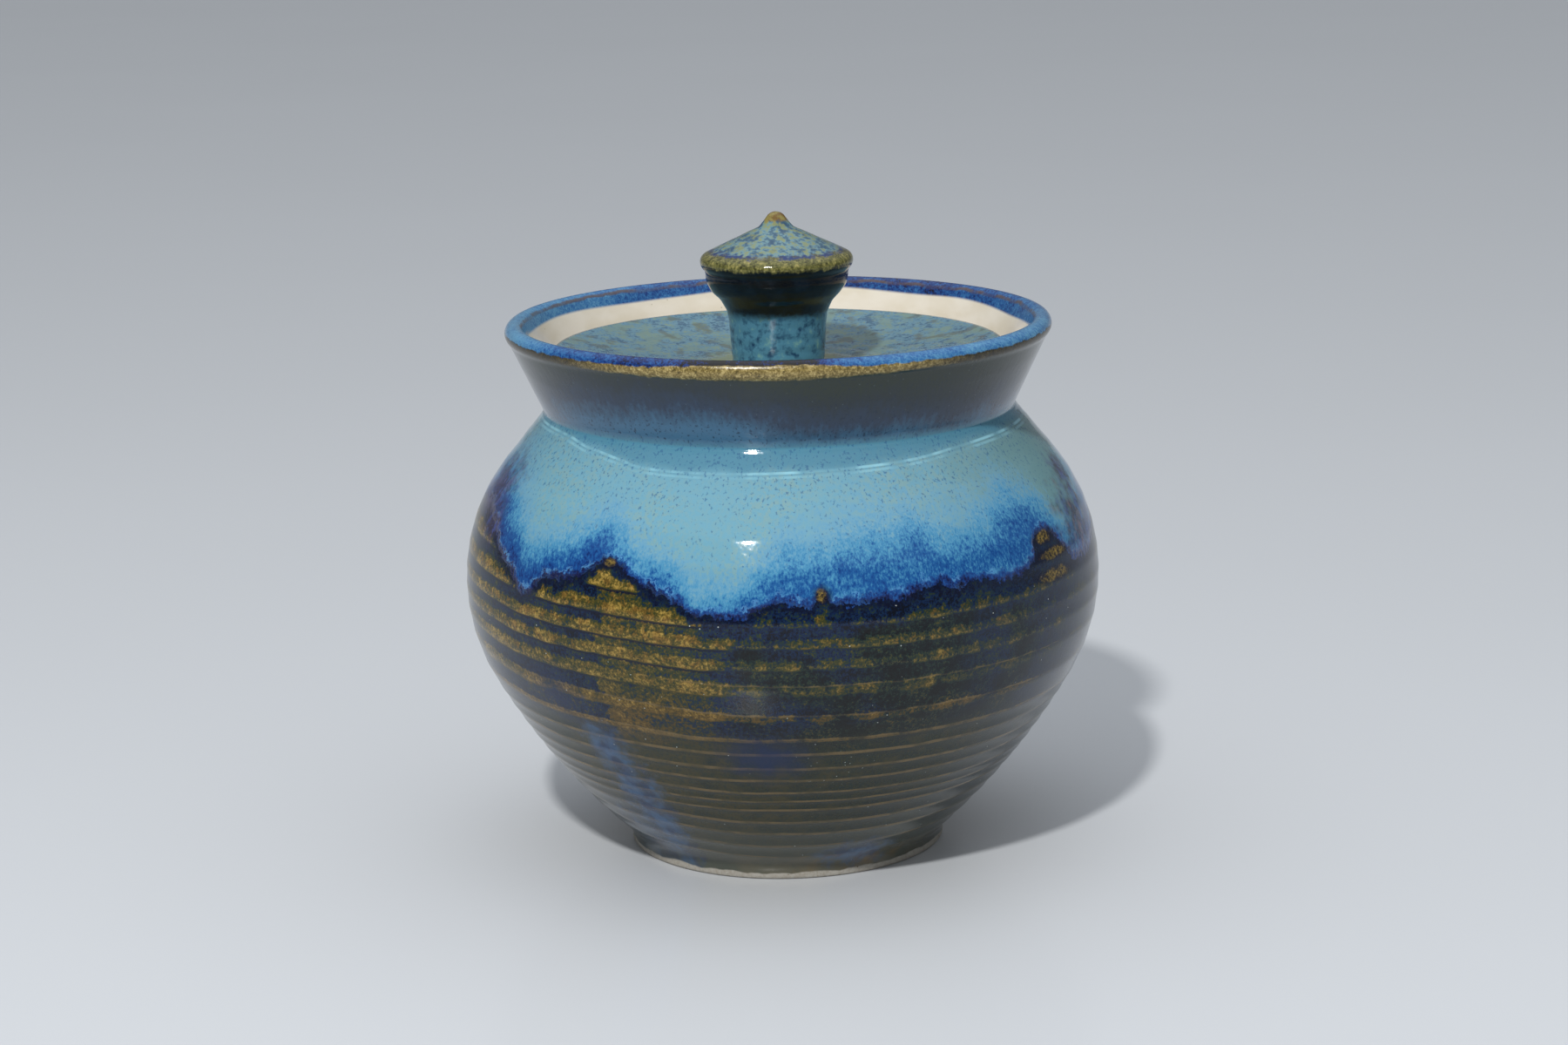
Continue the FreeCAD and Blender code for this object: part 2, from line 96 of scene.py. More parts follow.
class Graph:
    """Short ways to add and join the nodes of one tree."""

    def __init__(self, tree: bpy.types.NodeTree) -> None:
        """Work on one tree.

        Args:
            tree: A shader or Geometry Nodes tree.
        """
        self.tree = tree

    def node(self, kind: str, **settings: object) -> bpy.types.Node:
        """Add a node.

        Args:
            kind: Blender's name of the node's type.
            settings: The node's own properties.

        Returns:
            The new node.
        """
        made = self.tree.nodes.new(kind)
        for name, value in settings.items():
            setattr(made, name, value)
        return made

    def feed(self, socket: Socket, value: Amount | Colour | tuple[float, ...]) -> None:
        """Join a socket to another one, or set it.

        Args:
            socket: The input.
            value: An output socket, a number, a colour or a vector.
        """
        if isinstance(value, bpy.types.NodeSocket):
            self.tree.links.new(value, socket)
        else:
            socket.default_value = value

    def math(self, way: str, *amounts: Amount, clamp: bool = False) -> Socket:
        """One sum.

        Args:
            way: The operation, such as ADD.
            amounts: Its numbers or sockets, in order.
            clamp: Whether the result is held between 0 and 1.

        Returns:
            The result.
        """
        made = self.node("ShaderNodeMath", operation=way, use_clamp=clamp)
        for socket, amount in zip(made.inputs, amounts):
            self.feed(socket, amount)
        return made.outputs[0]

    def total(self, *amounts: Amount) -> Socket:
        """Add up two or more amounts.

        Args:
            amounts: Numbers or sockets.

        Returns:
            Their sum.
        """
        found = amounts[0]
        for amount in amounts[1:]:
            found = self.math("ADD", found, amount)
        return found

    def product(self, *amounts: Amount) -> Socket:
        """Multiply two or more amounts.

        Args:
            amounts: Numbers or sockets.

        Returns:
            Their product.
        """
        found = amounts[0]
        for amount in amounts[1:]:
            found = self.math("MULTIPLY", found, amount)
        return found

    def less(self, amount: Amount, taken: Amount) -> Socket:
        """Take one amount from another."""
        return self.math("SUBTRACT", amount, taken)

    def shake(self, noise: Socket, reach: float) -> Socket:
        """Centre a noise on 0.

        Args:
            noise: A noise around a half.
            reach: How far apart its lowest and highest values come to lie.

        Returns:
            The shaken amount, from minus half the reach to half of it.
        """
        return self.math("MULTIPLY_ADD", noise, reach, -reach / 2)

    def fade(self, amount: Amount, low: Amount, high: Amount, first: float = 0.0, last: float = 1.0) -> Socket:
        """A soft step.

        Args:
            amount: What is measured.
            low: Where the step begins.
            high: Where it ends.
            first: The result before it.
            last: The result after it.

        Returns:
            The step's height.
        """
        made = self.node("ShaderNodeMapRange", interpolation_type="SMOOTHSTEP", clamp=True)
        for name, value in (("Value", amount), ("From Min", low), ("From Max", high),
                            ("To Min", first), ("To Max", last)):
            self.feed(made.inputs[name], value)
        return made.outputs["Result"]

    def band(self, amount: Amount, middle: Amount, width: float, soft: float) -> Socket:
        """A soft-edged band, 1 inside and 0 outside.

        Args:
            amount: What is measured.
            middle: The band's middle.
            width: Half its width.
            soft: How wide its edge is.

        Returns:
            The band's share.
        """
        away = self.math("ABSOLUTE", self.math("SUBTRACT", amount, middle))
        return self.fade(away, width, width + soft, 1.0, 0.0)

    def mix(self, share: Amount, under: Socket | Colour, over: Socket | Colour) -> Socket:
        """Lay one colour over another.

        Args:
            share: How much of the upper one shows.
            under: The lower colour.
            over: The upper colour.

        Returns:
            The mixed colour.
        """
        made = self.node("ShaderNodeMix", data_type="RGBA")
        self.feed(made.inputs[0], share)
        self.feed(made.inputs[6], under)
        self.feed(made.inputs[7], over)
        return made.outputs[2]

    def ramp(self, amount: Amount, *stops: tuple[float, Colour]) -> Socket:
        """Colours along a scale.

        Args:
            amount: The place on the scale, 0 to 1.
            stops: Each place and its colour.

        Returns:
            The colour there.
        """
        made = self.node("ShaderNodeValToRGB")
        marks = made.color_ramp.elements
        marks[0].position, marks[0].color = stops[0]
        marks[1].position, marks[1].color = stops[-1]
        for place, colour in stops[1:-1]:
            marks.new(place).color = colour
        self.feed(made.inputs[0], amount)
        return made.outputs["Color"]

    def curve(self, amount: Amount, marks: tuple[Place, ...], span: Place, reach: Place) -> Socket:
        """A smooth curve through given marks.

        Args:
            amount: What the curve is read at.
            marks: Each place and its value.
            span: The lowest and highest place.
            reach: The lowest and highest value that the curve may take.

        Returns:
            The curve's value there.
        """
        made = self.node("ShaderNodeFloatCurve")
        line = made.mapping.curves[0]
        spots = [((p - span[0]) / (span[1] - span[0]), (v - reach[0]) / (reach[1] - reach[0])) for p, v in marks]
        line.points[0].location, line.points[-1].location = spots[0], spots[-1]
        for spot in spots[1:-1]:
            line.points.new(*spot)
        made.mapping.update()
        share = self.node("ShaderNodeMapRange", clamp=True)
        for name, value in (("Value", amount), ("From Min", span[0]), ("From Max", span[1])):
            self.feed(share.inputs[name], value)
        self.feed(made.inputs["Value"], share.outputs["Result"])
        return self.math("MULTIPLY_ADD", made.outputs[0], reach[1] - reach[0], reach[0])

    def noise(self, place: Socket, size: float, detail: float = 2.0, tall: float = 1.0,
              shift: float = 0.0, rough: float = 0.5) -> Socket:
        """Cloudy variation.

        Args:
            place: The position, in millimetres.
            size: How many millimetres one cloud is across.
            detail: How many finer layers it has.
            tall: How many times a cloud is taller than wide.
            shift: Moves the pattern, so that no two are the same.
            rough: How strong the finer layers are.

        Returns:
            A number near a half, from 0 to 1.
        """
        moved = self.node("ShaderNodeVectorMath", operation="MULTIPLY_ADD")
        self.feed(moved.inputs[0], place)
        self.feed(moved.inputs[1], (1 / size, 1 / size, 1 / size / tall))
        self.feed(moved.inputs[2], (shift, shift * 1.7, shift * 0.6))
        made = self.node("ShaderNodeTexNoise", noise_dimensions="3D")
        self.feed(made.inputs["Vector"], moved.outputs[0])
        for name, value in (("Scale", 1.0), ("Detail", detail), ("Roughness", rough)):
            self.feed(made.inputs[name], value)
        return made.outputs[0]

    def specks(self, place: Socket, size: float, share: float, shift: float = 0.0) -> Socket:
        """Scattered round specks.

        Args:
            place: The position, in millimetres.
            size: How many millimetres apart the specks may lie.
            share: A speck's width as a share of that.
            shift: Moves the pattern.

        Returns:
            1 in a speck and 0 outside.
        """
        moved = self.node("ShaderNodeVectorMath", operation="MULTIPLY_ADD")
        self.feed(moved.inputs[0], place)
        self.feed(moved.inputs[1], (1 / size,) * 3)
        self.feed(moved.inputs[2], (shift,) * 3)
        made = self.node("ShaderNodeTexVoronoi", feature="F1")
        self.feed(made.inputs["Vector"], moved.outputs[0])
        self.feed(made.inputs["Scale"], 1.0)
        return self.fade(made.outputs["Distance"], share * 0.6, share, 1.0, 0.0)


@dataclass(frozen=True)
class Spiral:
    """The line that the potter's fingers leave as the wheel turns, one pitch down for each turn."""

    crest_heights: tuple[float, ...] = (
        148.0, 141.0, 134.0, 127.0, 119.5, 112.5, 105.0, 98.0, 91.0, 84.4, 78.6, 73.0, 66.2, 57.8, 50.5,
        46.0, 41.0, 37.0, 32.6, 29.5, 26.4, 21.6, 17.1, 12.0, 7.5)
    winding: tuple[Place, ...] = (
        (-180, -1.1), (-120, -.97), (-80, -.85), (-60, -.66), (-50, -.47), (-40, -.4), (-30, -.3), (-20, -.14),
        (-10, -.02), (0, 0), (20, .05), (35, .02), (50, -.03), (60, -.1), (80, -.14), (120, -.13), (180, -.1))

    def turns(self, height: np.ndarray) -> np.ndarray:
        """Which turn of the wheel a height belongs to.

        Args:
            height: Heights on the wall, at the front.

        Returns:
            The turn numbers, whole on a crest.
        """
        marks = np.array(self.crest_heights[::-1])
        return np.interp(height, marks, np.arange(len(marks))[::-1])

    def offset(self, graph: Graph, turn: Socket, degrees: Socket) -> Socket:
        """How far a place is from the nearest crest.

        Args:
            graph: The tree to work in.
            turn: The turn number at this height.
            degrees: The angle from the front.

        Returns:
            The share of a turn, from -0.5 above the crest to 0.5 below it.
        """
        wound = graph.curve(degrees, self.winding, (-180, 180), (-1.1, 0.1))
        return graph.math("WRAP", graph.less(turn, wound), 0.5, -0.5)


# ---------------------------------------------------------------------------
# Thrown shapes
# ---------------------------------------------------------------------------


class Meridian:
    """Half of a thrown piece's section, drawn from the axis round to the axis again."""

    # How far apart a stroke's points lie, and how near the axis the softening dies away.
    STEP = 0.2
    EASE = 4.0

    def __init__(self, start: Place) -> None:
        """Put the pen down.

        Args:
            start: Radius and height of the first point.
        """
        self.points = [np.array([start])]
        self.soft = [np.zeros(1)]
        self.gap = [np.ones(1)]

    def stroke(self, places: np.ndarray, soft: float, gap: float) -> None:
        """Add a run of points.

        Args:
            places: Their radii and heights.
            soft: How far round each point the line is evened out.
            gap: How far apart the mesh's rings lie here.
        """
        self.points.append(places)
        self.soft.append(np.full(len(places), soft))
        self.gap.append(np.full(len(places), gap))

    def line(self, end: Place, soft: float = 0.5, gap: float = 0.8) -> "Meridian":
        """A straight stroke.

        Args:
            end: Radius and height of its end.
            soft: How far round each point the line is evened out.
            gap: How far apart the mesh's rings lie here.

        Returns:
            The meridian itself.
        """
        first = self.points[-1][-1]
        count = max(2, round(math.dist(first, end) / self.STEP))
        share = np.linspace(0, 1, count + 1)[1:, None]
        self.stroke(first + share * (np.array(end) - first), soft, gap)
        return self

    def arc(self, centre: Place, bend: float, first: float, last: float,
            soft: float = 0.5, gap: float = 0.8) -> "Meridian":
        """A round stroke, joined to the last point by a straight one.

        Args:
            centre: Its centre.
            bend: Its radius.
            first: The angle where it starts.
            last: The angle where it ends.
            soft: How far round each point the line is evened out.
            gap: How far apart the mesh's rings lie here.

        Returns:
            The meridian itself.
        """
        swing = np.radians([first, last])
        start = (centre[0] + bend * math.cos(swing[0]), centre[1] + bend * math.sin(swing[0]))
        if math.dist(start, self.points[-1][-1]) > self.STEP:
            self.line(start, soft, gap)
        count = max(3, round(abs(swing[1] - swing[0]) * bend / self.STEP))
        angles = np.linspace(*swing, count + 1)[1:]
        places = np.stack([centre[0] + bend * np.cos(angles), centre[1] + bend * np.sin(angles)], 1)
        self.stroke(places, soft, gap)
        return self

    def rings(self) -> tuple[np.ndarray, np.ndarray]:
        """Even the line out and choose where the rings of the mesh go.

        Returns:
            Each ring's radius and height, and how far along the line it lies.
        """
        line, soft, gap = (np.concatenate(part) for part in (self.points, self.soft, self.gap))
        run = np.concatenate([[0], np.cumsum(np.hypot(*np.diff(line, axis=0).T))])
        reach = np.maximum(soft, 1e-3) * np.clip(np.minimum(run, run[-1] - run) / self.EASE, 1e-3, 1)
        weight = np.exp(-0.5 * ((run[:, None] - run[None, :]) / reach[:, None]) ** 2)
        even = weight @ line / weight.sum(1, keepdims=True)
        even[[0, -1], 0] = 0
        count = np.concatenate([[0], np.cumsum(np.diff(run) / gap[1:])])
        marks = np.linspace(0, count[-1], round(count[-1]) + 1)
        places = np.interp(marks, count, run)
        chosen = np.stack([np.interp(places, run, even[:, 0]), np.interp(places, run, even[:, 1])], 1)
        return chosen, places


@dataclass
class Wheel:
    """Turns a meridian once round the axis, with the finger spiral and a hand's unevenness cut in."""

    # The radius from which the unevenness has its full depth, and how near points are welded.
    CALM_RADIUS = 30.0
    WELD = 1e-6
    # The unevenness: how quickly it changes with height and all round, its reach and its level.
    WAVES_UP = 22.0
    WAVE_SCALE = 0.9
    WAVE_REACH = 2.0
    WAVE_LEVEL = -1.6

    segments: int = 216
    spiral: Spiral = field(default_factory=Spiral)

    def build_tree(self) -> tuple[bpy.types.NodeTree, dict[str, str]]:
        """Build the Geometry Nodes tree.

        Returns:
            The tree, and the identifier of each named input.
        """
        tree = bpy.data.node_groups.new("wheel", "GeometryNodeTree")
        kinds = (("Meridian", "NodeSocketGeometry"), ("Segments", "NodeSocketInt"),
                 ("Crest Relief", "NodeSocketFloat"), ("Hand Wobble", "NodeSocketFloat"),
                 ("Seed", "NodeSocketInt"), ("Glaze", "NodeSocketMaterial"))
        names = {name: tree.interface.new_socket(name, in_out="INPUT", socket_type=kind).identifier
                 for name, kind in kinds}
        tree.interface.new_socket("Thrown", in_out="OUTPUT", socket_type="NodeSocketGeometry")
        graph = Graph(tree)
        given = graph.node("NodeGroupInput")
        size = graph.node("GeometryNodeAttributeDomainSize", component="MESH")
        graph.feed(size.inputs[0], given.outputs["Meridian"])
        rows = size.outputs["Point Count"]
        grid = graph.node("GeometryNodeMeshGrid")
        graph.feed(grid.inputs["Vertices X"], graph.total(given.outputs["Segments"], 1))
        graph.feed(grid.inputs["Vertices Y"], rows)
        index = graph.node("GeometryNodeInputIndex").outputs[0]
        column = graph.math("FLOOR", graph.math("DIVIDE", graph.total(index, 0.5), rows))
        row = graph.less(index, graph.product(column, rows))
        share = graph.math("DIVIDE", column, given.outputs["Segments"])
        degrees = graph.math("MULTIPLY_ADD", share, 360.0, -180.0)
        reads = {name: self.read(graph, given.outputs["Meridian"], name, row)
                 for name in ("across", "up", "out_across", "out_up", "run", "turn", "relief")}
        far = graph.math("ABSOLUTE", self.spiral.offset(graph, reads["turn"], degrees))
        scallop = graph.product(graph.math("SINE", graph.product(far, math.pi)), -1.0)
        lift = graph.product(scallop, reads["relief"], given.outputs["Crest Relief"])
        angle = graph.math("RADIANS", degrees)
        sine, cosine = graph.math("SINE", angle), graph.math("COSINE", angle)
        uneven = self.wobble(graph, sine, cosine, reads["up"], given.outputs["Seed"])
        steady = graph.fade(reads["across"], 0.0, self.CALM_RADIUS / METRE)
        swell = graph.product(uneven, steady, given.outputs["Hand Wobble"])
        across = graph.total(reads["across"], graph.product(reads["out_across"], lift), swell)
        up = graph.total(reads["up"], graph.product(reads["out_up"], lift))
        spot = graph.node("ShaderNodeCombineXYZ")
        graph.feed(spot.inputs[0], graph.product(across, sine))
        graph.feed(spot.inputs[1], graph.product(across, cosine, -1.0))
        graph.feed(spot.inputs[2], up)
        flow = grid.outputs["Mesh"]
        for name in ("run", "turn"):
            keep = graph.node("GeometryNodeStoreNamedAttribute", data_type="FLOAT", domain="POINT")
            graph.feed(keep.inputs["Geometry"], flow)
            graph.feed(keep.inputs["Name"], name)
            graph.feed(keep.inputs["Value"], reads[name])
            flow = keep.outputs[0]
        place = graph.node("GeometryNodeSetPosition")
        graph.feed(place.inputs["Geometry"], flow)
        graph.feed(place.inputs["Position"], spot.outputs[0])
        flow = place.outputs[0]
        for kind, settings in (("GeometryNodeMergeByDistance", {"Distance": self.WELD}),
                               ("GeometryNodeSetShadeSmooth", {}),
                               ("GeometryNodeRealizeInstances", {}),
                               ("GeometryNodeSetMaterial", {"Material": given.outputs["Glaze"]})):
            made = graph.node(kind)
            graph.feed(made.inputs[0], flow)
            for name, value in settings.items():
                graph.feed(made.inputs[name], value)
            flow = made.outputs[0]
        graph.feed(graph.node("NodeGroupOutput").inputs[0], flow)
        return tree, names

    @staticmethod
    def read(graph: Graph, source: Socket, name: str, row: Socket) -> Socket:
        """Read one of the meridian's values at a row of the grid.

        Args:
            graph: The tree.
            source: The meridian.
            name: The value's name.
            row: The row's number.

        Returns:
            The value there.
        """
        value = graph.node("GeometryNodeInputNamedAttribute", data_type="FLOAT")
        graph.feed(value.inputs["Name"], name)
        made = graph.node("GeometryNodeSampleIndex", data_type="FLOAT", domain="POINT")
        graph.feed(made.inputs["Geometry"], source)
        graph.feed(made.inputs["Value"], value.outputs[0])
        graph.feed(made.inputs["Index"], row)
        return made.outputs[0]

    def wobble(self, graph: Graph, sine: Socket, cosine: Socket, up: Socket, seed: Socket) -> Socket:
        """The slow unevenness of a hand-thrown wall.

        Args:
            graph: The tree.
            sine: Sine of the angle round the axis.
            cosine: Its cosine.
            up: The height, in metres.
            seed: Which unevenness.

        Returns:
            A number around -0.6 and seldom above 0, so that the wall stays inside its size.
        """
        spot = graph.node("ShaderNodeCombineXYZ")
        graph.feed(spot.inputs[0], sine)
        graph.feed(spot.inputs[1], graph.total(cosine, seed))
        graph.feed(spot.inputs[2], graph.product(up, self.WAVES_UP))
        made = graph.node("ShaderNodeTexNoise", noise_dimensions="3D")
        graph.feed(made.inputs["Vector"], spot.outputs[0])
        graph.feed(made.inputs["Scale"], self.WAVE_SCALE)
        graph.feed(made.inputs["Detail"], 1.0)
        return graph.math("MULTIPLY_ADD", made.outputs[0], self.WAVE_REACH, self.WAVE_LEVEL)

    def throw(self, name: str, meridian: Meridian, origin: float, relief: np.ndarray | float,
              turn: np.ndarray | None, crest: float, wobble: float, seed: int,
              glaze: bpy.types.Material) -> bpy.types.Object:
        """Turn a meridian into a closed plain mesh.

        Args:
            name: The piece's name.
            meridian: Its half section.
            origin: Where along the line the stored run is 0.
            relief: How strongly each ring takes the spiral.
            turn: Each ring's turn number, or None to take it from the height.
            crest: Depth of the groove between two crests, in millimetres.
            wobble: Depth of the hand's unevenness, in millimetres.
            seed: Which unevenness.
            glaze: The material.

        Returns:
            The piece.
        """
        rings, run = meridian.rings()
        slope = np.gradient(rings, axis=0)
        slope /= np.hypot(*slope.T)[:, None]
        values = {
            "across": rings[:, 0] / METRE, "up": rings[:, 1] / METRE,
            "out_across": slope[:, 1], "out_up": -slope[:, 0],
            "run": run - origin, "turn": self.spiral.turns(rings[:, 1]) if turn is None else turn,
            "relief": relief + np.zeros(len(run)),
        }
        mesh = bpy.data.meshes.new(name)
        mesh.from_pydata([(r / METRE, 0, z / METRE) for r, z in rings],
                         [(i, i + 1) for i in range(len(rings) - 1)], [])
        for key, value in values.items():
            mesh.attributes.new(key, "FLOAT", "POINT").data.foreach_set("value", value.astype(np.float32))
        piece = bpy.data.objects.new(name, mesh)
        bpy.context.scene.collection.objects.link(piece)
        tree, names = self.build_tree()
        maker = piece.modifiers.new("wheel", "NODES")
        maker.node_group = tree
        for key, value in (("Segments", self.segments), ("Crest Relief", crest / METRE),
                           ("Hand Wobble", wobble / METRE), ("Seed", seed), ("Glaze", glaze)):
            maker[names[key]] = value
        depsgraph = bpy.context.evaluated_depsgraph_get()
        thrown = bpy.data.meshes.new_from_object(
            piece.evaluated_get(depsgraph), preserve_all_data_layers=True, depsgraph=depsgraph)
        piece.modifiers.clear()
        piece.data = thrown
        bpy.data.meshes.remove(mesh)
        thrown.name = name
        return piece


# ---------------------------------------------------------------------------
# Glazes
# ---------------------------------------------------------------------------


@dataclass
class Surface:
    """What a glaze can read at a place on the clay."""

    graph: Graph
    spiral: Spiral

    def __post_init__(self) -> None:
        """Add the nodes that every glaze reads."""
        graph = self.graph
        coords = graph.node("ShaderNodeTexCoord").outputs["Object"]
        scaled = graph.node("ShaderNodeVectorMath", operation="SCALE")
        graph.feed(scaled.inputs[0], coords)
        graph.feed(scaled.inputs["Scale"], METRE)
        self.place = scaled.outputs[0]
        parts = graph.node("ShaderNodeSeparateXYZ")
        graph.feed(parts.inputs[0], self.place)
        self.height = parts.outputs[2]
        front = graph.product(parts.outputs[1], -1.0)
        self.degrees = graph.math("DEGREES", graph.math("ARCTAN2", parts.outputs[0], front))
        aside, ahead = graph.math("POWER", parts.outputs[0], 2.0), graph.math("POWER", front, 2.0)
        self.radius = graph.math("SQRT", graph.total(aside, ahead))
        self.run = graph.node("ShaderNodeAttribute", attribute_name="run").outputs["Fac"]
        turn = graph.node("ShaderNodeAttribute", attribute_name="turn").outputs["Fac"]
        shake = graph.shake(graph.noise(self.place, size=9.0, detail=1.0), 0.14)
        self.offset = self.spiral.offset(graph, graph.total(turn, shake), self.degrees)
        self.crest = graph.math("ABSOLUTE", self.offset)

    def splash(self, degrees: float, height: float, width: float, tall: float,
               lean: float = 0.0, soft: float = 0.6, ragged: float = 0.5, shift: float = 0.0) -> Socket:
        """A patch where one glaze has run or splashed.

        Args:
            degrees: The angle of its middle.
            height: The height of its middle.
            width: Half its width, in degrees.
            tall: Half its height.
            lean: Degrees that it moves to the right for each millimetre down.
            soft: How soft its edge is, as a share of its size.
            ragged: How ragged its edge is.
            shift: Moves the raggedness.

        Returns:
            1 inside and 0 outside.
        """
        graph = self.graph
        below = graph.less(height, self.height)
        aside = graph.less(self.degrees, graph.math("MULTIPLY_ADD", below, lean, degrees))
        round_way = graph.math("POWER", graph.math("DIVIDE", aside, width), 2.0)
        up_way = graph.math("POWER", graph.math("DIVIDE", below, tall), 2.0)
        away = graph.math("SQRT", graph.total(round_way, up_way))
        frayed = graph.shake(graph.noise(self.place, size=3.5, detail=3.0, shift=shift), ragged * 2)
        return graph.fade(graph.total(away, frayed), 1.0 - soft, 1.0 + soft * 0.3, 1.0, 0.0)


@dataclass
class Coat:
    """A layer of glaze: its colour, roughness and height above the clay."""

    colour: Socket | Colour
    rough: Amount
    relief: Amount = 0.0

    def over(self, graph: Graph, share: Socket, under: "Coat") -> "Coat":
        """Lay this coat over another.

        Args:
            graph: The tree.
            share: Where this coat shows.
            under: The coat below.

        Returns:
            The two as one coat.
        """
        def blend(low: Amount, high: Amount) -> Socket:
            """Mix two amounts by the share."""
            return graph.math("MULTIPLY_ADD", graph.less(high, low), share, low)

        return Coat(graph.mix(share, under.colour, self.colour), blend(under.rough, self.rough),
                    blend(under.relief, self.relief))


@dataclass(frozen=True)
class BreakingGold:
    """The lower glaze: it breaks to gold where it is thin on a crest and pools navy in the grooves."""

    navy_dark: Colour = fired(2, 8, 22)
    navy: Colour = fired(6, 31, 68)
    pine_dark: Colour = fired(4, 7, 9)
    pine: Colour = fired(8, 20, 22)
    teal: Colour = fired(20, 42, 40)
    moss: Colour = fired(40, 48, 26)
    gold_dark: Colour = fired(62, 60, 26)
    gold: Colour = fired(94, 80, 34)
    gold_light: Colour = fired(156, 130, 64)
    rust: Colour = fired(108, 68, 26)
    ink: Colour = fired(2, 8, 34)
    olive: Colour = fired(58, 54, 34)
    olive_cold: Colour = fired(26, 36, 32)
    slate: Colour = fired(34, 48, 66)
    table_sheen_grey: Colour = fired(84, 88, 80)
    thin_line: Colour = fired(112, 94, 62)
    run_blue: Colour = fired(56, 96, 138)
    run_dark: Colour = fired(14, 38, 80)
    # How rich the gold is at each angle.
    gold_round: tuple[Place, ...] = (
        (-180, .7), (-150, 1.05), (-120, .7), (-90, .9), (-62, .9), (-42, .82), (-30, 1.05), (-16, 1.0), (-6, .46),
        (10, .46), (28, .48), (44, .38), (60, .24), (80, .5), (105, .8), (125, 1.05), (150, .65), (180, .7))
    # Zones that are olive in the grooves too: the angles where each starts, is full, thins and ends.
    filled: tuple[tuple[float, float, float, float], ...] = (
        (-34.4, -33.0, -23.0, -8.0), (104.0, 110.0, 128.0, 140.0), (-166.0, -158.0, -146.0, -138.0))
    # The heights between which the bands narrow, the low glaze takes over and the foot greys with a painted reflection
    # of the pale table.
    narrowing: Place = (63.0, 71.0)
    low_from: Place = (56.0, 46.0)
    table_sheen_from: Place = (26.0, 3.0)
    # Angle, height, half width, half height, lean, strength and shift of each trail of blue.
    trails: tuple[tuple[float, ...], ...] = (
        (-36.5, 24.0, 7.0, 28.0, 0.05, 0.8, 2.0), (-39.0, 44.0, 5.0, 7.0, 0.0, 0.6, 5.0),
        # The low wide trail at -45 degrees is painted reflection: a pale haze standing in for the table's sheen on the
        # lower left.
        (-45.0, 9.0, 11.0, 15.0, 0.1, 0.45, 14.0),
        (-58.0, 10.0, 20.0, 16.0, 0.0, 0.25, 12.0), (23.0, 7.5, 14.0, 5.0, 0.0, 0.7, 6.0),
        (150.0, 22.0, 10.0, 16.0, 0.1, 0.8, 7.0), (-120.0, 30.0, 7.0, 24.0, 0.1, 0.75, 9.0),
        (84.0, 40.0, 8.0, 12.0, 0.0, 0.5, 11.0))
    # Angle, height, half width, half height, strength and shift of each pool.
    pools: tuple[tuple[float, ...], ...] = (
        (-4.0, 44.5, 9.5, 7.5, 0.75, 4.0), (-46.0, 60.0, 7.0, 9.0, 0.4, 3.0), (118.0, 47.0, 9.0, 8.0, 0.7, 8.0),
        (-150.0, 50.0, 8.0, 7.0, 0.6, 10.0))

    def bands(self, on: Surface, grain: Socket, cloud: Socket) -> tuple[Socket, Socket, Socket, Socket]:
        """Where the gold lies along each crest.

        Args:
            on: The surface.
            grain: Fine noise.
            cloud: Coarse noise.

        Returns:
            The gold, the painted highlight low in it along the crest, the painted shadow line under the crest and the
            tan line over it.
        """
        graph, height = on.graph, on.height
        wealth = graph.curve(on.degrees, self.gold_round, (-180, 180), (0, 1.2))
        wealth = graph.total(wealth, graph.shake(cloud, 0.9))
        breadth = graph.fade(wealth, 0.0, 1.0, 0.55, 1.0)
        upper = graph.product(breadth, graph.fade(height, 50.0, 74.0, 0.1, 0.26))
        lower = graph.product(breadth, graph.fade(height, 47.0, 68.0, 0.05, 0.24))
        soft = graph.fade(height, *self.narrowing, 0.05, 0.17)
        place = graph.total(on.offset, graph.shake(grain, 0.3))
        top = graph.product(upper, -1.0)
        start = graph.fade(place, graph.less(top, soft), graph.total(top, 0.03))
        under = graph.less(place, lower)
        end = graph.fade(under, -0.02, graph.fade(height, *self.narrowing, 0.12, 0.04), 1.0, 0.0)
        high = graph.fade(height, 63.0, 70.0)
        # Painted highlight along each crest, and painted shadow where the crest drops into the groove below.
        crest_highlight = graph.product(graph.band(under, -0.09, 0.015, 0.07), high, graph.fade(grain, 0.46, 0.6), 0.5)
        dark = graph.product(graph.band(under, 0.07, 0.02, 0.05), high, graph.fade(wealth, 0.4, 0.8), 0.85)
        tan = graph.product(graph.band(graph.less(on.offset, top), 0.02, 0.012, 0.03),
                            graph.fade(height, 71.0, 66.0), graph.fade(cloud, 0.4, 0.6, 0.15, 0.7))
        share = graph.product(start, end, graph.fade(wealth, 0.2, 0.95, 0.3, 1.0))
        return share, crest_highlight, dark, tan

    def filling(self, on: Surface, cloud: Socket) -> Socket:
        """Where the glaze stayed thin in the grooves as well, so that they are olive too.

        Args:
            on: The surface.
            cloud: Coarse noise.

        Returns:
            1 there and 0 elsewhere.
        """
        graph = on.graph
        turned = graph.total(on.degrees, graph.shake(cloud, 10.0))
        found: Amount = 0.0
        for first, full, last, end in self.filled:
            zone = graph.product(graph.fade(turned, first, full), graph.fade(turned, last, end, 1.0, 0.0))
            found = graph.total(found, zone)
        return found

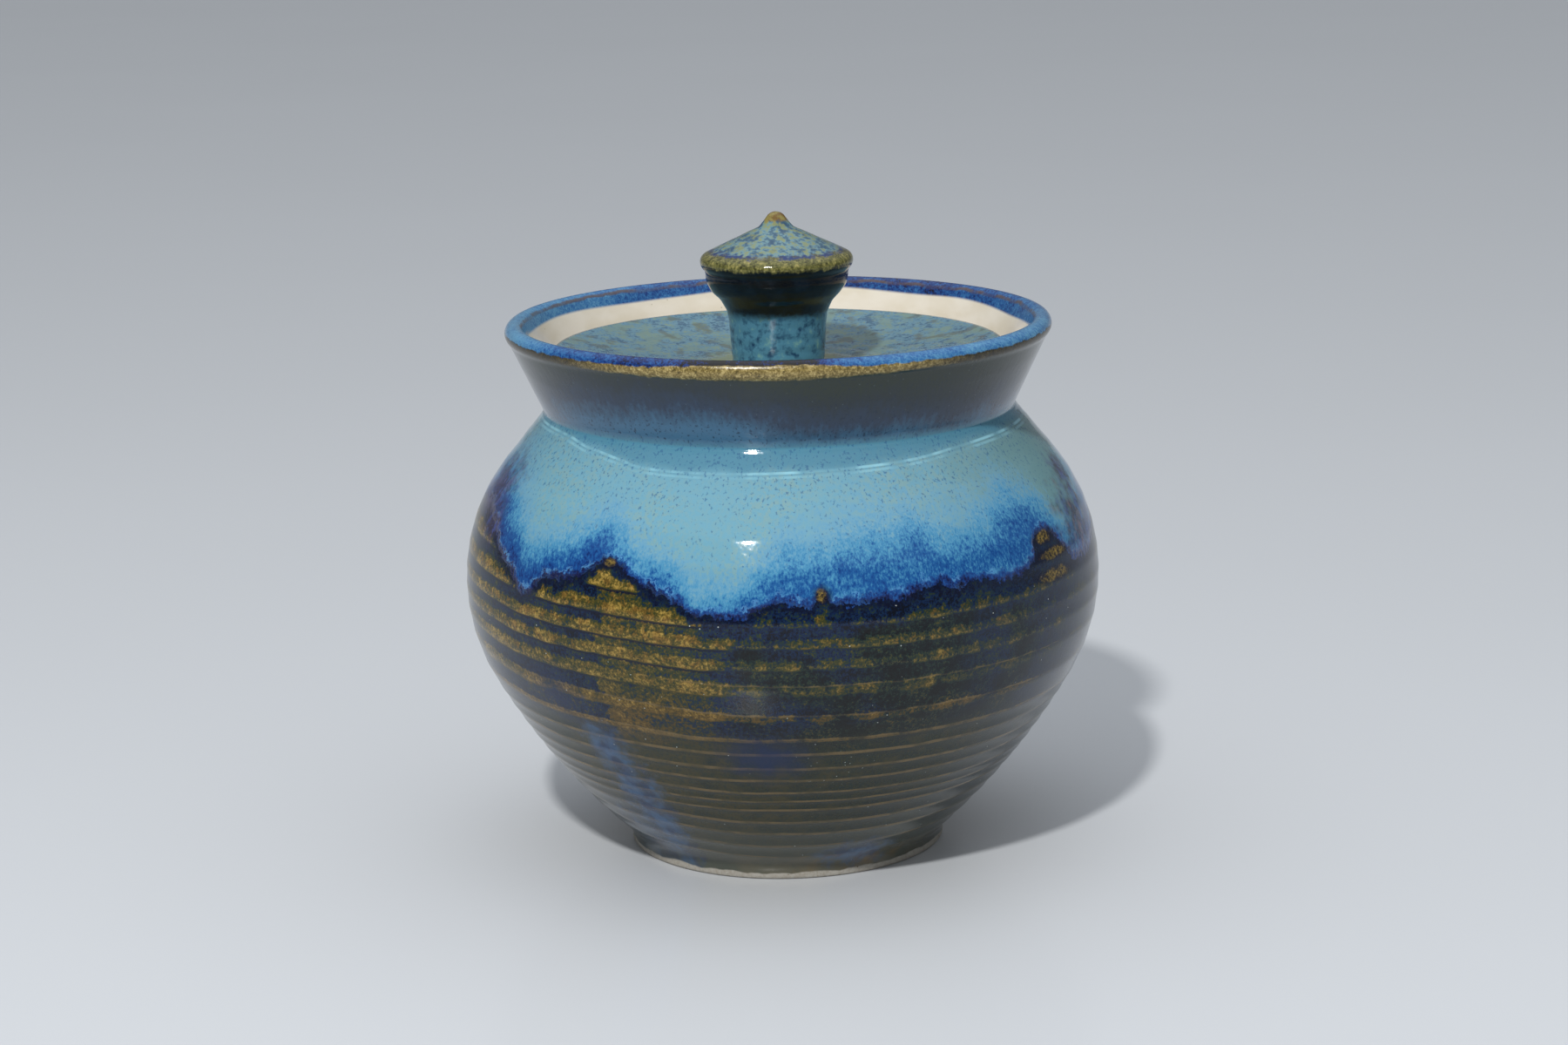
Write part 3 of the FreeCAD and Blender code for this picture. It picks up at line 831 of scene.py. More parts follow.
    def paint(self, on: Surface, below: Socket) -> Coat:
        """Build the coat.

        Args:
            on: The surface.
            below: How far the place is under the drip line, in millimetres.

        Returns:
            The coat.
        """
        graph, height = on.graph, on.height
        fine = graph.noise(on.place, size=0.6, detail=3.0, shift=3.1, rough=0.7)
        grain = graph.noise(on.place, size=1.2, detail=3.0, shift=5.3, rough=0.65)
        cloud = graph.noise(on.place, size=6.0, detail=3.0, shift=8.0)
        slow = graph.noise(on.place, size=20.0, detail=2.0, shift=5.0)
        speckle = graph.math("MULTIPLY_ADD", fine, 0.5, graph.product(grain, 0.5))
        share, crest_highlight, dark, tan = self.bands(on, speckle, cloud)
        later = graph.fade(on.degrees, -14.0, 2.0, 0.0, 2.2)
        clear = graph.fade(graph.less(graph.total(below, graph.shake(cloud, 4.0)), later), 1.4, 3.4)
        body = graph.math("MAXIMUM", graph.product(share, clear, 0.44),
                          graph.product(self.filling(on, cloud), clear, 0.285))
        thin = graph.total(body, graph.shake(grain, 0.95), graph.shake(fine, 0.95), graph.shake(cloud, 0.7), 0.16)
        blue = graph.ramp(thin, (0.02, self.navy_dark), (0.2, self.navy))
        green = graph.ramp(thin, (0.02, self.pine_dark), (0.2, self.pine))
        away = graph.math("ABSOLUTE", graph.total(on.degrees, graph.shake(slow, 80.0), -22.0))
        away = graph.product(away, graph.fade(on.degrees, -66.0, -48.0, 0.3, 1.0))
        away = graph.total(away, graph.fade(below, 9.0, 3.0, 0.0, 30.0))
        colour = graph.mix(graph.fade(away, 8.0, 26.0), green, blue)
        thick = graph.ramp(thin, (0.29, self.teal), (0.38, self.moss), (0.5, self.gold_dark), (0.65, self.gold),
                           (0.86, self.gold_light))
        colour = graph.mix(graph.fade(thin, 0.18, 0.32), colour, thick)
        burnt = graph.fade(graph.noise(on.place, size=2.4, detail=3.0, shift=9.0), 0.46, 0.62, 0.0, 0.35)
        burnt = graph.product(burnt, graph.fade(thin, 0.4, 0.6), graph.fade(below, 30.0, 8.0, 0.35, 1.0))
        warm = graph.product(graph.fade(height, 68.0, 56.0), graph.fade(thin, 0.3, 0.45), 0.3)
        colour = graph.mix(graph.math("MAXIMUM", burnt, warm), colour, self.rust)
        # Painted highlight on the crests and painted shadow under them.
        colour = graph.mix(graph.product(crest_highlight, share, clear), colour, self.gold_light)
        colour = graph.mix(graph.product(dark, clear), colour, self.ink)
        colour = graph.mix(graph.product(graph.fade(below, 2.6, 0.7), graph.fade(grain, 0.3, 0.6, 0.95, 0.6)),
                           colour, self.ink)
        cold = graph.total(on.degrees, graph.shake(slow, 60.0))
        side = graph.fade(graph.math("ABSOLUTE", graph.less(cold, 62.0)), 46.0, 10.0)
        colour = graph.mix(graph.product(side, 0.3), colour, self.slate)
        wet = graph.math("MULTIPLY_ADD", cloud, 0.6, graph.product(speckle, 0.4))
        away = graph.math("ABSOLUTE", graph.total(on.degrees, graph.shake(slow, 50.0), 26.0))
        turned = graph.fade(away, 10.0, 30.0, 0.05, -0.06)
        low = graph.mix(graph.fade(graph.less(wet, turned), 0.42, 0.58), self.olive, self.olive_cold)
        low = graph.mix(graph.product(side, 0.5), low, self.slate)
        low = graph.mix(graph.fade(fine, 0.42, 0.6, 0.0, 0.5), low, self.gold_dark)
        low = graph.mix(graph.fade(grain, 0.52, 0.4, 0.0, 0.5), low, self.teal)
        line = graph.band(on.offset, 0.0, 0.05, 0.09)
        low = graph.mix(graph.product(graph.band(on.offset, 0.2, 0.05, 0.12), 0.4), low, self.olive_cold)
        seen = graph.product(graph.fade(cloud, 0.36, 0.6, 0.3, 0.85), graph.fade(side, 0.2, 1.0, 1.0, 0.55))
        low = graph.mix(graph.product(line, seen), low, self.thin_line)
        # Painted reflection: towards the foot the glaze greys as the pale table's sheen would make it.
        low = graph.mix(graph.product(graph.fade(height, *self.table_sheen_from), 0.75), low, self.table_sheen_grey)
        fading = graph.total(height, graph.shake(slow, 14.0))
        colour = graph.mix(graph.fade(fading, *self.low_from), colour, low)
        colour = graph.mix(tan, colour, self.thin_line)
        colour = self.runs(on, colour, cloud)
        relief = graph.total(graph.product(fine, 0.02), graph.product(grain, 0.035))
        return Coat(colour, graph.math("MULTIPLY_ADD", fine, 0.14, 0.07), relief)

    def runs(self, on: Surface, under: Socket, cloud: Socket) -> Socket:
        """Add the blue that ran down the flank and the pools near the foot.

        Args:
            on: The surface.
            under: The colour below.
            cloud: Coarse noise.

        Returns:
            The new colour.
        """
        graph = on.graph
        pale = graph.mix(graph.fade(cloud, 0.4, 0.62, 0.0, 0.8), self.run_blue, self.run_dark)
        for degrees, height, width, tall, lean, strength, shift in self.trails:
            trail = on.splash(degrees, height, width, tall, lean=lean, soft=0.9, ragged=0.9, shift=shift)
            under = graph.mix(graph.product(trail, strength), under, pale)
        for degrees, height, width, tall, strength, shift in self.pools:
            pool = on.splash(degrees, height, width, tall, soft=0.9, ragged=0.5, shift=shift)
            under = graph.mix(graph.product(pool, strength), under, self.run_dark)
        return under


@dataclass(frozen=True)
class RunningBlue:
    """The upper glaze: pale on the shoulder, deeper blue as it runs, with a dark ragged hem."""

    ink: Colour = fired(2, 12, 60)
    cobalt: Colour = fired(14, 58, 122)
    royal: Colour = fired(26, 84, 142)
    cornflower: Colour = fired(68, 134, 172)
    sky: Colour = fired(96, 148, 176)
    pale: Colour = fired(100, 152, 172)
    sage: Colour = fired(98, 136, 141)
    straw: Colour = fired(114, 152, 158)
    lace: Colour = fired(92, 156, 204)
    fleck: Colour = fired(36, 84, 128)
    # Painted shadow of the collar on the shoulder's crease, and the painted light along its lower edge.
    crease_shade: Colour = fired(66, 122, 146)
    crease_painted_light: Colour = fired(140, 196, 212)
    # The height of the hem at each angle, in front and then behind, where angles run on past 180.
    front_line: tuple[Place, ...] = (
        (-90, 100), (-80, 103), (-72, 101.5), (-61, 93), (-55, 89), (-51.5, 85.5), (-49, 88), (-46, 90.5), (-42, 91.5),
        (-39, 92.5), (-36, 95), (-34, 97), (-32, 98), (-29.5, 97), (-27, 94.5), (-25, 92.5), (-22.5, 91), (-19, 89.5),
        (-17, 88), (-15, 86), (-12, 85.6), (-9.5, 85.4), (-7, 85.8), (-5, 87.2), (-3, 88.4), (-1, 89.5), (1.5, 89),
        (4, 88.5), (5.2, 89), (6.5, 92), (7.8, 88.8), (10, 88), (13, 89), (16.5, 89), (21, 89), (24.5, 91), (27, 91.5),
        (30.5, 90), (34, 90.5), (39, 90), (44, 89.5), (48, 90.5), (50.5, 93), (53, 98), (56, 98.5), (58.5, 96),
        (62, 91), (67, 87.5), (73, 88), (80, 91), (90, 98))
    back_line: tuple[Place, ...] = (
        (90, 98), (97, 92), (104, 87), (109, 85), (114, 87), (120, 91), (126, 93), (132, 90), (138, 86), (143, 83),
        (148, 85), (154, 90), (161, 95), (167, 97), (173, 93), (180, 89), (187, 86), (193, 84), (198, 86), (205, 91),
        (212, 92), (219, 89), (226, 87), (232, 88), (239, 93), (246, 97), (253, 94), (260, 93), (265, 97), (270, 100))
    # How far the deep blue reaches above the hem, and how high the shoulder's crease lies, where a painted shadow of
    # the collar starts.
    deep_round: tuple[Place, ...] = (
        (-180, 5), (-150, 9), (-125, 4), (-105, 8), (-90, 6), (-68, 6), (-60, 7.5), (-53, 7), (-46, 5.5), (-40, 5.5),
        (-37, 6.5), (-33.5, 4.5), (-30.5, 1.5), (-27, .5), (-24, 2.5), (-18, 1), (-12, .5), (-7, 3), (-2, 3.5),
        (3, 7), (6, 4), (10, 8), (18, 8.5), (24, 8.5), (28, 6), (34, 6), (42, 8), (48, 11.5), (52, 4), (56, 1.5),
        (64, 1), (75, 4), (90, 6), (110, 4), (130, 9), (155, 5), (180, 5))
    seam_round: tuple[Place, ...] = (
        (-180, 122), (-120, 123), (-70, 125), (-50, 123.4), (-38, 121.8), (-28, 120.4), (-10, 120.3), (12, 120.8),
        (26, 121.2), (60, 123), (110, 122.5), (180, 122))
    # The heights above the hem between which its rolled edge darkens.
    rolled_edge: Place = (2.8, 0.3)
    # Height over the crease and strength of each painted light line along it, at the lower edge of the painted shadow.
    painted_light_lines: tuple[Place, ...] = ((0.0, 1.0), (-1.0, 0.5))

    def above(self, on: Surface) -> Socket:
        """How far a place is above the hem, in millimetres.

        Args:
            on: The surface.

        Returns:
            The distance, below 0 under the hem.
        """
        graph = on.graph
        span, reach = (-90.0, 90.0), (75.0, 110.0)
        front = graph.curve(on.degrees, self.front_line, span, reach)
        turned = graph.total(on.degrees, graph.product(graph.math("LESS_THAN", on.degrees, 0.0), 360.0))
        back = graph.curve(turned, self.back_line, (90.0, 270.0), reach)
        behind = graph.math("GREATER_THAN", graph.math("ABSOLUTE", on.degrees), 90.0)
        hem = graph.math("MULTIPLY_ADD", graph.less(back, front), behind, front)
        frill = graph.total(graph.shake(graph.noise(on.place, size=1.7, detail=4.0, shift=1.0, rough=0.7), 6.0),
                            graph.shake(graph.noise(on.place, size=5.0, detail=1.0, shift=1.6), 3.0))
        return graph.less(on.height, graph.total(hem, frill))

    def paint(self, on: Surface, above: Socket) -> Coat:
        """Build the coat.

        Args:
            on: The surface.
            above: How far the place is above the hem.

        Returns:
            The coat.
        """
        graph, height = on.graph, on.height
        fur = graph.noise(on.place, size=0.6, detail=3.0, tall=1.9, shift=4.0, rough=0.65)
        grain = graph.noise(on.place, size=1.2, detail=3.0, tall=1.4, shift=7.0, rough=0.65)
        cloud = graph.noise(on.place, size=7.0, detail=3.0, shift=6.0)
        deep = graph.curve(on.degrees, self.deep_round, (-180, 180), (0, 16))
        risen = graph.product(graph.less(above, deep), graph.fade(on.degrees, -10.0, 12.0, 1.9, 1.35))
        least = graph.fade(on.degrees, -40.0, -5.0, -5.0, 0.5)
        rolled = graph.fade(above, *self.rolled_edge, 0.0, -10.0)
        thick = graph.total(graph.math("MAXIMUM", risen, least), rolled, graph.shake(fur, 26.0),
                            graph.shake(grain, 16.0), graph.shake(cloud, 14.0))
        scale = graph.math("DIVIDE", graph.total(thick, 12.0), 48.0, clamp=True)
        colour = graph.ramp(scale, (0.0, self.ink), (0.14, self.cobalt), (0.26, self.royal), (0.41, self.cornflower),
                            (0.56, self.sky), (0.85, self.pale))
        high = graph.fade(thick, 8.0, 24.0)
        broad = graph.fade(graph.noise(on.place, size=22.0, detail=2.0, shift=40.0), 0.38, 0.6, 0.35, 0.95)
        colour = graph.mix(graph.product(graph.fade(grain, 0.42, 0.6), high, broad), colour, self.straw)
        # Greyer sage on the right of the shoulder: partly the glaze's tone, partly a painted sheen of the room on that
        # side.
        side = graph.fade(graph.total(on.degrees, graph.shake(cloud, 30.0)), 18.0, 66.0)
        side = graph.product(side, graph.fade(on.degrees, 130.0, 90.0))
        colour = graph.mix(graph.product(side, high, 0.95), colour, self.sage)
        flecks = graph.noise(on.place, size=0.75, detail=2.0, tall=1.9, shift=2.0)
        many = graph.fade(height, 106.0, 122.0, 0.0, 0.05)
        flecks = graph.fade(graph.total(flecks, many), 0.61, 0.72)
        level = graph.total(height, graph.shake(cloud, 3.0))
        seam = graph.curve(on.degrees, self.seam_round, (-180, 180), (118, 128))
        over = graph.less(level, seam)
        # Painted shadow: above the crease line the shoulder turns darker teal under the collar; painted light lines
        # run along its lower edge.
        colour = graph.mix(graph.fade(over, -1.5, 2.0, 0.0, 0.85), colour, self.crease_shade)
        colour = graph.mix(graph.product(flecks, graph.fade(above, 5.0, 14.0), 0.6), colour, self.fleck)
        faint = graph.fade(graph.noise(on.place, size=9.0, detail=2.0, shift=13.0), 0.4, 0.6, 0.15, 0.8)
        for line, strength in self.painted_light_lines:
            drawn = graph.band(graph.less(height, seam), line, 0.14, 0.3)
            colour = graph.mix(graph.product(drawn, faint, strength), colour, self.crease_painted_light)
        some = graph.fade(graph.noise(on.place, size=4.0, detail=2.0, shift=17.0), 0.42, 0.6)
        edge = graph.product(graph.band(above, 0.5, 0.1, 0.3), some, 0.1)
        ripple = graph.total(above, graph.shake(grain, 4.0))
        fold = graph.product(graph.band(ripple, 2.3, 0.15, 0.4), some, 0.5)
        colour = graph.mix(graph.math("MAXIMUM", edge, fold), colour, self.lace)
        relief = graph.total(graph.fade(above, -0.3, 3.0, -0.05, 0.12), graph.product(fur, 0.004),
                             graph.product(cloud, 0.12))
        return Coat(colour, graph.math("MULTIPLY_ADD", grain, 0.06, 0.03), relief)


@dataclass(frozen=True)
class SidePatches:
    """Where the two glazes have mixed to purple and brown, high on the sides."""

    purple: Colour = fired(60, 70, 124)
    plum: Colour = fired(44, 38, 62)
    brown: Colour = fired(110, 74, 38)
    # Angle, height, half width, half height and share of brown of each patch.
    spots: tuple[tuple[float, ...], ...] = (
        (-76.0, 108.0, 11.0, 10.0, 0.25), (-69.0, 99.5, 5.0, 5.5, 0.0), (72.0, 97.0, 11.0, 11.0, 0.7),
        (77.0, 109.0, 6.0, 5.0, 0.1), (172.0, 103.0, 14.0, 9.0, 0.5), (-128.0, 101.0, 10.0, 8.0, 0.6))

    def paint(self, on: Surface, under: Coat) -> Coat:
        """Lay the patches over a coat.

        Args:
            on: The surface.
            under: The coat below.

        Returns:
            The new coat.
        """
        graph = on.graph
        stain = graph.noise(on.place, size=4.5, detail=4.0, tall=1.6, shift=12.0, rough=0.65)
        made = under
        for number, (degrees, height, width, tall, rust) in enumerate(self.spots):
            patch = on.splash(degrees, height, width, tall, soft=0.9, ragged=0.9, shift=float(number))
            last = graph.mix(rust, self.purple, self.brown)
            colour = graph.ramp(stain, (0.4, self.purple), (0.48, self.plum), (0.54, self.plum), (0.6, self.purple))
            colour = graph.mix(graph.fade(stain, 0.5, 0.6), colour, last)
            made = Coat(colour, 0.12, made.relief).over(graph, graph.product(patch, 0.85), made)
        return made


@dataclass(frozen=True)
class SlateCollar:
    """The collar's glaze: slate where it is thin under the lip, blue with dark specks at the neck."""

    dark: Colour = fired(44, 53, 48)
    slate: Colour = fired(41, 51, 58)
    mauve: Colour = fired(43, 59, 80)
    blue: Colour = fired(60, 102, 132)
    speck: Colour = fired(18, 38, 62)
    pale: Colour = fired(100, 120, 124)
    # Where the collar's scale of colours starts, and how tall it is.
    foot: float = 124.0
    tall: float = 24.0

    def paint(self, on: Surface) -> Coat:
        """Build the coat.

        Args:
            on: The surface.

        Returns:
            The coat.
        """
        graph = on.graph
        streak = graph.noise(on.place, size=1.3, detail=3.0, tall=4.0, shift=14.0, rough=0.6)
        cloud = graph.noise(on.place, size=13.0, detail=3.0, shift=15.0)
        leaning = graph.fade(graph.math("ABSOLUTE", graph.total(on.degrees, 30.0)), 12.0, 42.0, -2.5, 2.5)
        level = graph.total(on.height, graph.shake(streak, 8.0), graph.shake(cloud, 9.0), leaning)
        scale = graph.math("DIVIDE", graph.less(level, self.foot), self.tall, clamp=True)
        colour = graph.ramp(scale, (0.0, self.blue), (0.2, self.blue), (0.46, self.mauve), (0.68, self.slate),
                            (0.92, self.dark))
        specks = graph.noise(on.place, size=0.75, detail=2.0, tall=1.3, shift=16.0)
        specks = graph.product(graph.fade(specks, 0.58, 0.68), graph.fade(on.height, 142.0, 126.0, 0.25, 0.8))
        colour = graph.mix(specks, colour, self.speck)
        grit = graph.specks(on.place, size=2.2, share=0.1, shift=4.0)
        colour = graph.mix(graph.product(grit, 0.3), colour, self.pale)
        return Coat(colour, 0.09, graph.product(streak, 0.05))


@dataclass(frozen=True)
class LipBand:
    """The lip: worn to olive gold on its outer edge, mottled blue over the top and just inside."""

    gold_dark: Colour = fired(72, 62, 32)
    gold: Colour = fired(124, 108, 62)
    gold_light: Colour = fired(184, 166, 112)
    dull: Colour = fired(16, 20, 22)
    plum: Colour = fired(16, 13, 15)
    cobalt: Colour = fired(10, 44, 108)
    blue: Colour = fired(42, 96, 150)
    pale: Colour = fired(90, 144, 178)
    worn: Colour = fired(84, 66, 52)
    # How light the blue top is at each angle.
    light_round: tuple[Place, ...] = (
        (-180, .3), (-140, .5), (-110, .7), (-90, .8), (-66, .75), (-50, .4), (-34, .3), (-22, .2), (-12, .02),
        (3, .02), (9, .3), (20, .55), (45, .65), (70, .7), (90, .6), (120, .4), (150, .3), (180, .3))

    def paint(self, on: Surface) -> tuple[Coat, Coat]:
        """Build the two coats.

        Args:
            on: The surface.

        Returns:
            The gold edge and the blue top.
        """
        graph = on.graph
        fine = graph.noise(on.place, size=0.45, detail=3.0, shift=18.0, rough=0.7)
        grain = graph.noise(on.place, size=1.1, detail=3.0, shift=24.0, rough=0.65)
        cloud = graph.noise(on.place, size=9.0, detail=3.0, shift=19.0)
        speckle = graph.math("MULTIPLY_ADD", fine, 0.5, graph.product(grain, 0.5))
        gold = graph.ramp(speckle, (0.38, self.gold_dark), (0.5, self.gold), (0.64, self.gold_light))
        far = graph.math("ABSOLUTE", graph.total(on.degrees, 4.0))
        gold = graph.mix(graph.fade(far, 24.0, 50.0, 0.0, 0.85), gold, self.dull)
        light = graph.curve(on.degrees, self.light_round, (-180, 180), (0, 1))
        mottle = graph.total(light, graph.shake(cloud, 0.5), graph.shake(speckle, 1.5))
        blue = graph.ramp(mottle, (0.08, self.plum), (0.26, self.cobalt), (0.5, self.blue), (0.85, self.pale))
        thin = graph.band(graph.total(on.run, graph.shake(cloud, 3.0)), 2.4, 0.25, 0.6)
        blue = graph.mix(graph.product(thin, graph.fade(cloud, 0.4, 0.55, 0.3, 0.8)), blue, self.worn)
        relief = graph.product(speckle, 0.09)
        return Coat(gold, 0.14, relief), Coat(blue, 0.09, graph.product(fine, 0.03))


@dataclass(frozen=True)
class CreamLiner:
    """The smooth cream liner of the gallery and the inside."""

    cream: Colour = fired(220, 213, 199)
    warm: Colour = fired(210, 201, 182)
    speck: Colour = fired(128, 108, 74)

    def paint(self, on: Surface) -> Coat:
        """Build the coat.

        Args:
            on: The surface.

        Returns:
            The coat.
        """
        graph = on.graph
        cloud = graph.noise(on.place, size=11.0, detail=3.0, tall=0.5, shift=21.0)
        colour = graph.mix(graph.fade(cloud, 0.35, 0.7), self.cream, self.warm)
        groove = graph.fade(on.crest, 0.12, 0.5, 0.0, 0.35)
        colour = graph.mix(groove, colour, self.cream)
        iron = graph.specks(on.place, size=4.2, share=0.055, shift=3.0)
        colour = graph.mix(graph.product(iron, 0.6), colour, self.speck)
        return Coat(colour, 0.12, graph.product(cloud, 0.06))


@dataclass(frozen=True)
class BareClay:
    """The unglazed stoneware of the foot."""

    clay: Colour = fired(168, 165, 157)
    shade: Colour = fired(150, 144, 132)
    iron: Colour = fired(92, 74, 54)

    def paint(self, on: Surface) -> Coat:
        """Build the coat.

        Args:
            on: The surface.

        Returns:
            The coat.
        """
        graph = on.graph
        grain = graph.noise(on.place, size=0.9, detail=4.0, shift=23.0, rough=0.7)
        colour = graph.mix(graph.fade(grain, 0.35, 0.7), self.clay, self.shade)
        colour = graph.mix(graph.specks(on.place, size=2.6, share=0.12, shift=5.0), colour, self.iron)
        return Coat(colour, 0.78, graph.product(grain, 0.12))


@dataclass(frozen=True)
class PotFinish:
    """All of the pot's glazes, laid on in the potter's order."""

    lower: BreakingGold = field(default_factory=BreakingGold)
    upper: RunningBlue = field(default_factory=RunningBlue)
    patches: SidePatches = field(default_factory=SidePatches)
    collar: SlateCollar = field(default_factory=SlateCollar)
    lip: LipBand = field(default_factory=LipBand)
    liner: CreamLiner = field(default_factory=CreamLiner)
    clay: BareClay = field(default_factory=BareClay)
    pinhole: Colour = fired(196, 204, 200)
    # Angle, height, half width and half height of each tuft.
    tufts: tuple[tuple[float, ...], ...] = (
        (-32.0, 97.8, 1.3, 1.3), (6.5, 91.2, 1.0, 2.0), (55.0, 97.2, 2.4, 1.7), (56.5, 92.4, 4.4, 1.4),
        (56.5, 87.0, 5.0, 1.6), (126.0, 93.0, 1.6, 1.6), (-155.0, 92.5, 1.4, 1.8))
    # The heights where the collar's glaze starts and where bare clay does, going down.
    neck_from: Place = (126.2, 128.6)
    bare_from: Place = (2.2, 1.7)
    # The runs where the liner starts and past which no clay is bare.
    liner_from: Place = (6.2, 7.2)
    outside_until: Place = (-60.0, -50.0)
    name: str = "pot_glaze"

    def make(self, spiral: Spiral) -> bpy.types.Material:
        """Build the material.

        Args:
            spiral: The finger spiral of the wall.

        Returns:
            The material.
        """
        material, graph, shader = new_material(self.name)
        on = Surface(graph, spiral)
        above = self.upper.above(on)
        made = self.lower.paint(on, graph.product(above, -1.0))
        made = self.upper.paint(on, above).over(graph, graph.fade(above, -0.05, 0.2), made)
        made = self.tufted(on, made)
        made = self.patches.paint(on, made)
        made = self.specked(on, made)
        neck = graph.total(on.height, graph.shake(graph.noise(on.place, size=5.0, detail=2.0, shift=25.0), 1.6))
        made = self.collar.paint(on).over(graph, graph.fade(neck, *self.neck_from), made)
        gold, blue = self.lip.paint(on)
        ragged = graph.shake(graph.noise(on.place, size=3.0, detail=3.0, shift=26.0), 1.8)
        along = graph.total(on.run, ragged)
        aside = graph.math("ABSOLUTE", graph.total(on.degrees, 4.0))
        worn = graph.fade(aside, 8.0, 44.0, -6.9, -6.0)
        made = gold.over(graph, graph.fade(graph.less(along, worn), -0.5, 0.4), made)
        top = graph.less(along, graph.fade(aside, 7.0, 28.0, -2.9, -4.1))
        made = blue.over(graph, graph.fade(top, 0.0, 0.5), made)
        back = graph.total(graph.fade(on.degrees, 90.0, 165.0, 0.2, 2.2),
                           graph.fade(on.degrees, -180.0, -140.0, 2.0, 0.4))
        wavy = graph.total(on.run, graph.shake(graph.noise(on.place, size=34.0, detail=0.0, shift=27.0), 3.0), back)
        made = self.liner.paint(on).over(graph, graph.fade(wavy, *self.liner_from), made)
        foot = graph.total(on.height, graph.shake(graph.noise(on.place, size=9.0, detail=3.0, shift=28.0), 2.4))
        outside = graph.fade(on.run, *self.outside_until, 1.0, 0.0)
        made = self.clay.paint(on).over(graph, graph.product(graph.fade(foot, *self.bare_from), outside), made)
        finish_material(graph, shader, made)
        return material

    def tufted(self, on: Surface, under: Coat) -> Coat:
        """Add the small gold tufts where the lower glaze breaks through a notch of the hem.

        Args:
            on: The surface.
            under: The coat below.

        Returns:
            The new coat.
        """
        graph, colour = on.graph, under.colour
        grain = graph.noise(on.place, size=0.8, detail=3.0, shift=33.0, rough=0.7)
        gold = graph.ramp(grain, (0.38, self.lower.ink), (0.5, self.lower.gold), (0.66, self.lower.gold_light))
        for degrees, height, width, tall in self.tufts:
            halo = on.splash(degrees, height, width * 1.9, tall * 1.6, shift=35.0)
            core = on.splash(degrees, height, width, tall, soft=0.5, ragged=0.8, shift=36.0)
            colour = graph.mix(graph.product(halo, 0.85), colour, self.lower.ink)
            colour = graph.mix(graph.product(core, 0.75), colour, gold)
        return Coat(colour, under.rough, under.relief)

    def specked(self, on: Surface, under: Coat) -> Coat:
        """Add the pinholes and pale specks that gather here and there.

        Args:
            on: The surface.
            under: The coat below.

        Returns:
            The new coat.
        """
        graph = on.graph
        few = graph.product(graph.specks(on.place, size=4.5, share=0.05, shift=7.0), 0.7)
        cluster = on.splash(11.0, 40.5, 8.0, 6.0, lean=-0.3, soft=0.9)
        many = graph.product(graph.specks(on.place, size=1.6, share=0.13, shift=9.0), cluster, 0.8)
        low = graph.fade(on.height, 96.0, 84.0)
        spots = graph.product(graph.math("MAXIMUM", few, many), low)
        return Coat(self.pinhole, 0.3, 0.1).over(graph, spots, under)


@dataclass(frozen=True)
class LidFinish:
    """The lid's glaze: mottled blue green, dark at the edge, with an olive pool by the stem."""

    slate: Colour = fired(54, 88, 112)
    blue: Colour = fired(86, 124, 142)
    green: Colour = fired(104, 128, 118)
    umber: Colour = fired(78, 82, 70)
    pool: Colour = fired(126, 130, 80)
    edge: Colour = fired(24, 46, 62)
    # The olive pool's radii, the dark edge's width, and where the flange and the seat are bare.
    pool_reach: Place = (32.0, 18.0)
    edge_reach: Place = (1.6, 0.4)
    bare_foot: Place = (1.4, 0.8)
    bare_seat: Place = (5.5, 4.0)
    clay: BareClay = field(default_factory=BareClay)
    liner: CreamLiner = field(default_factory=CreamLiner)
    name: str = "lid_glaze"

    def make(self, spiral: Spiral, edge_radius: float, flange_foot: float) -> bpy.types.Material:
        """Build the material.

        Args:
            spiral: The finger spiral of the dish.
            edge_radius: Radius of the lid's edge.
            flange_foot: Height of the flange's foot.

        Returns:
            The material.
        """
        material, graph, shader = new_material(self.name)
        on = Surface(graph, spiral)
        cloud = graph.noise(on.place, size=5.0, detail=4.0, shift=31.0, rough=0.65)
        wide = graph.noise(on.place, size=17.0, detail=3.0, shift=32.0)
        grain = graph.noise(on.place, size=1.0, detail=3.0, shift=33.0, rough=0.65)
        mottle = graph.total(graph.product(cloud, 0.55), graph.product(grain, 0.45))
        colour = graph.ramp(mottle, (0.42, self.slate), (0.48, self.blue), (0.52, self.blue), (0.58, self.green))
        other = graph.noise(on.place, size=8.0, detail=3.0, shift=36.0, rough=0.6)
        colour = graph.mix(graph.fade(other, 0.5, 0.62, 0.0, 0.7), colour, self.green)
        colour = graph.mix(graph.fade(graph.noise(on.place, size=6.0, detail=4.0, shift=37.0), 0.54, 0.66, 0.0, 0.6),
                           colour, self.umber)
        pooled = graph.total(on.radius, graph.shake(wide, 30.0), graph.shake(cloud, 10.0))
        colour = graph.mix(graph.fade(pooled, *self.pool_reach, 0.0, 0.8), colour, self.pool)
        starts, ends = (edge_radius - reach for reach in self.edge_reach)
        rim = graph.fade(graph.total(on.radius, graph.shake(cloud, 2.0)), starts, ends)
        colour = graph.mix(graph.product(rim, 0.85), colour, self.edge)
        top = Coat(colour, graph.math("MULTIPLY_ADD", grain, 0.1, 0.12), graph.product(mottle, 0.1))
        under = self.liner.paint(on)
        foot = graph.fade(on.height, *(flange_foot + reach for reach in self.bare_foot))
        under = self.clay.paint(on).over(graph, foot, under)
        made = under.over(graph, graph.fade(on.run, -0.6, 0.6), top)
        seat = graph.band(on.run, *self.bare_seat, 0.6)
        made = self.clay.paint(on).over(graph, seat, made)
        finish_material(graph, shader, made)
        return material


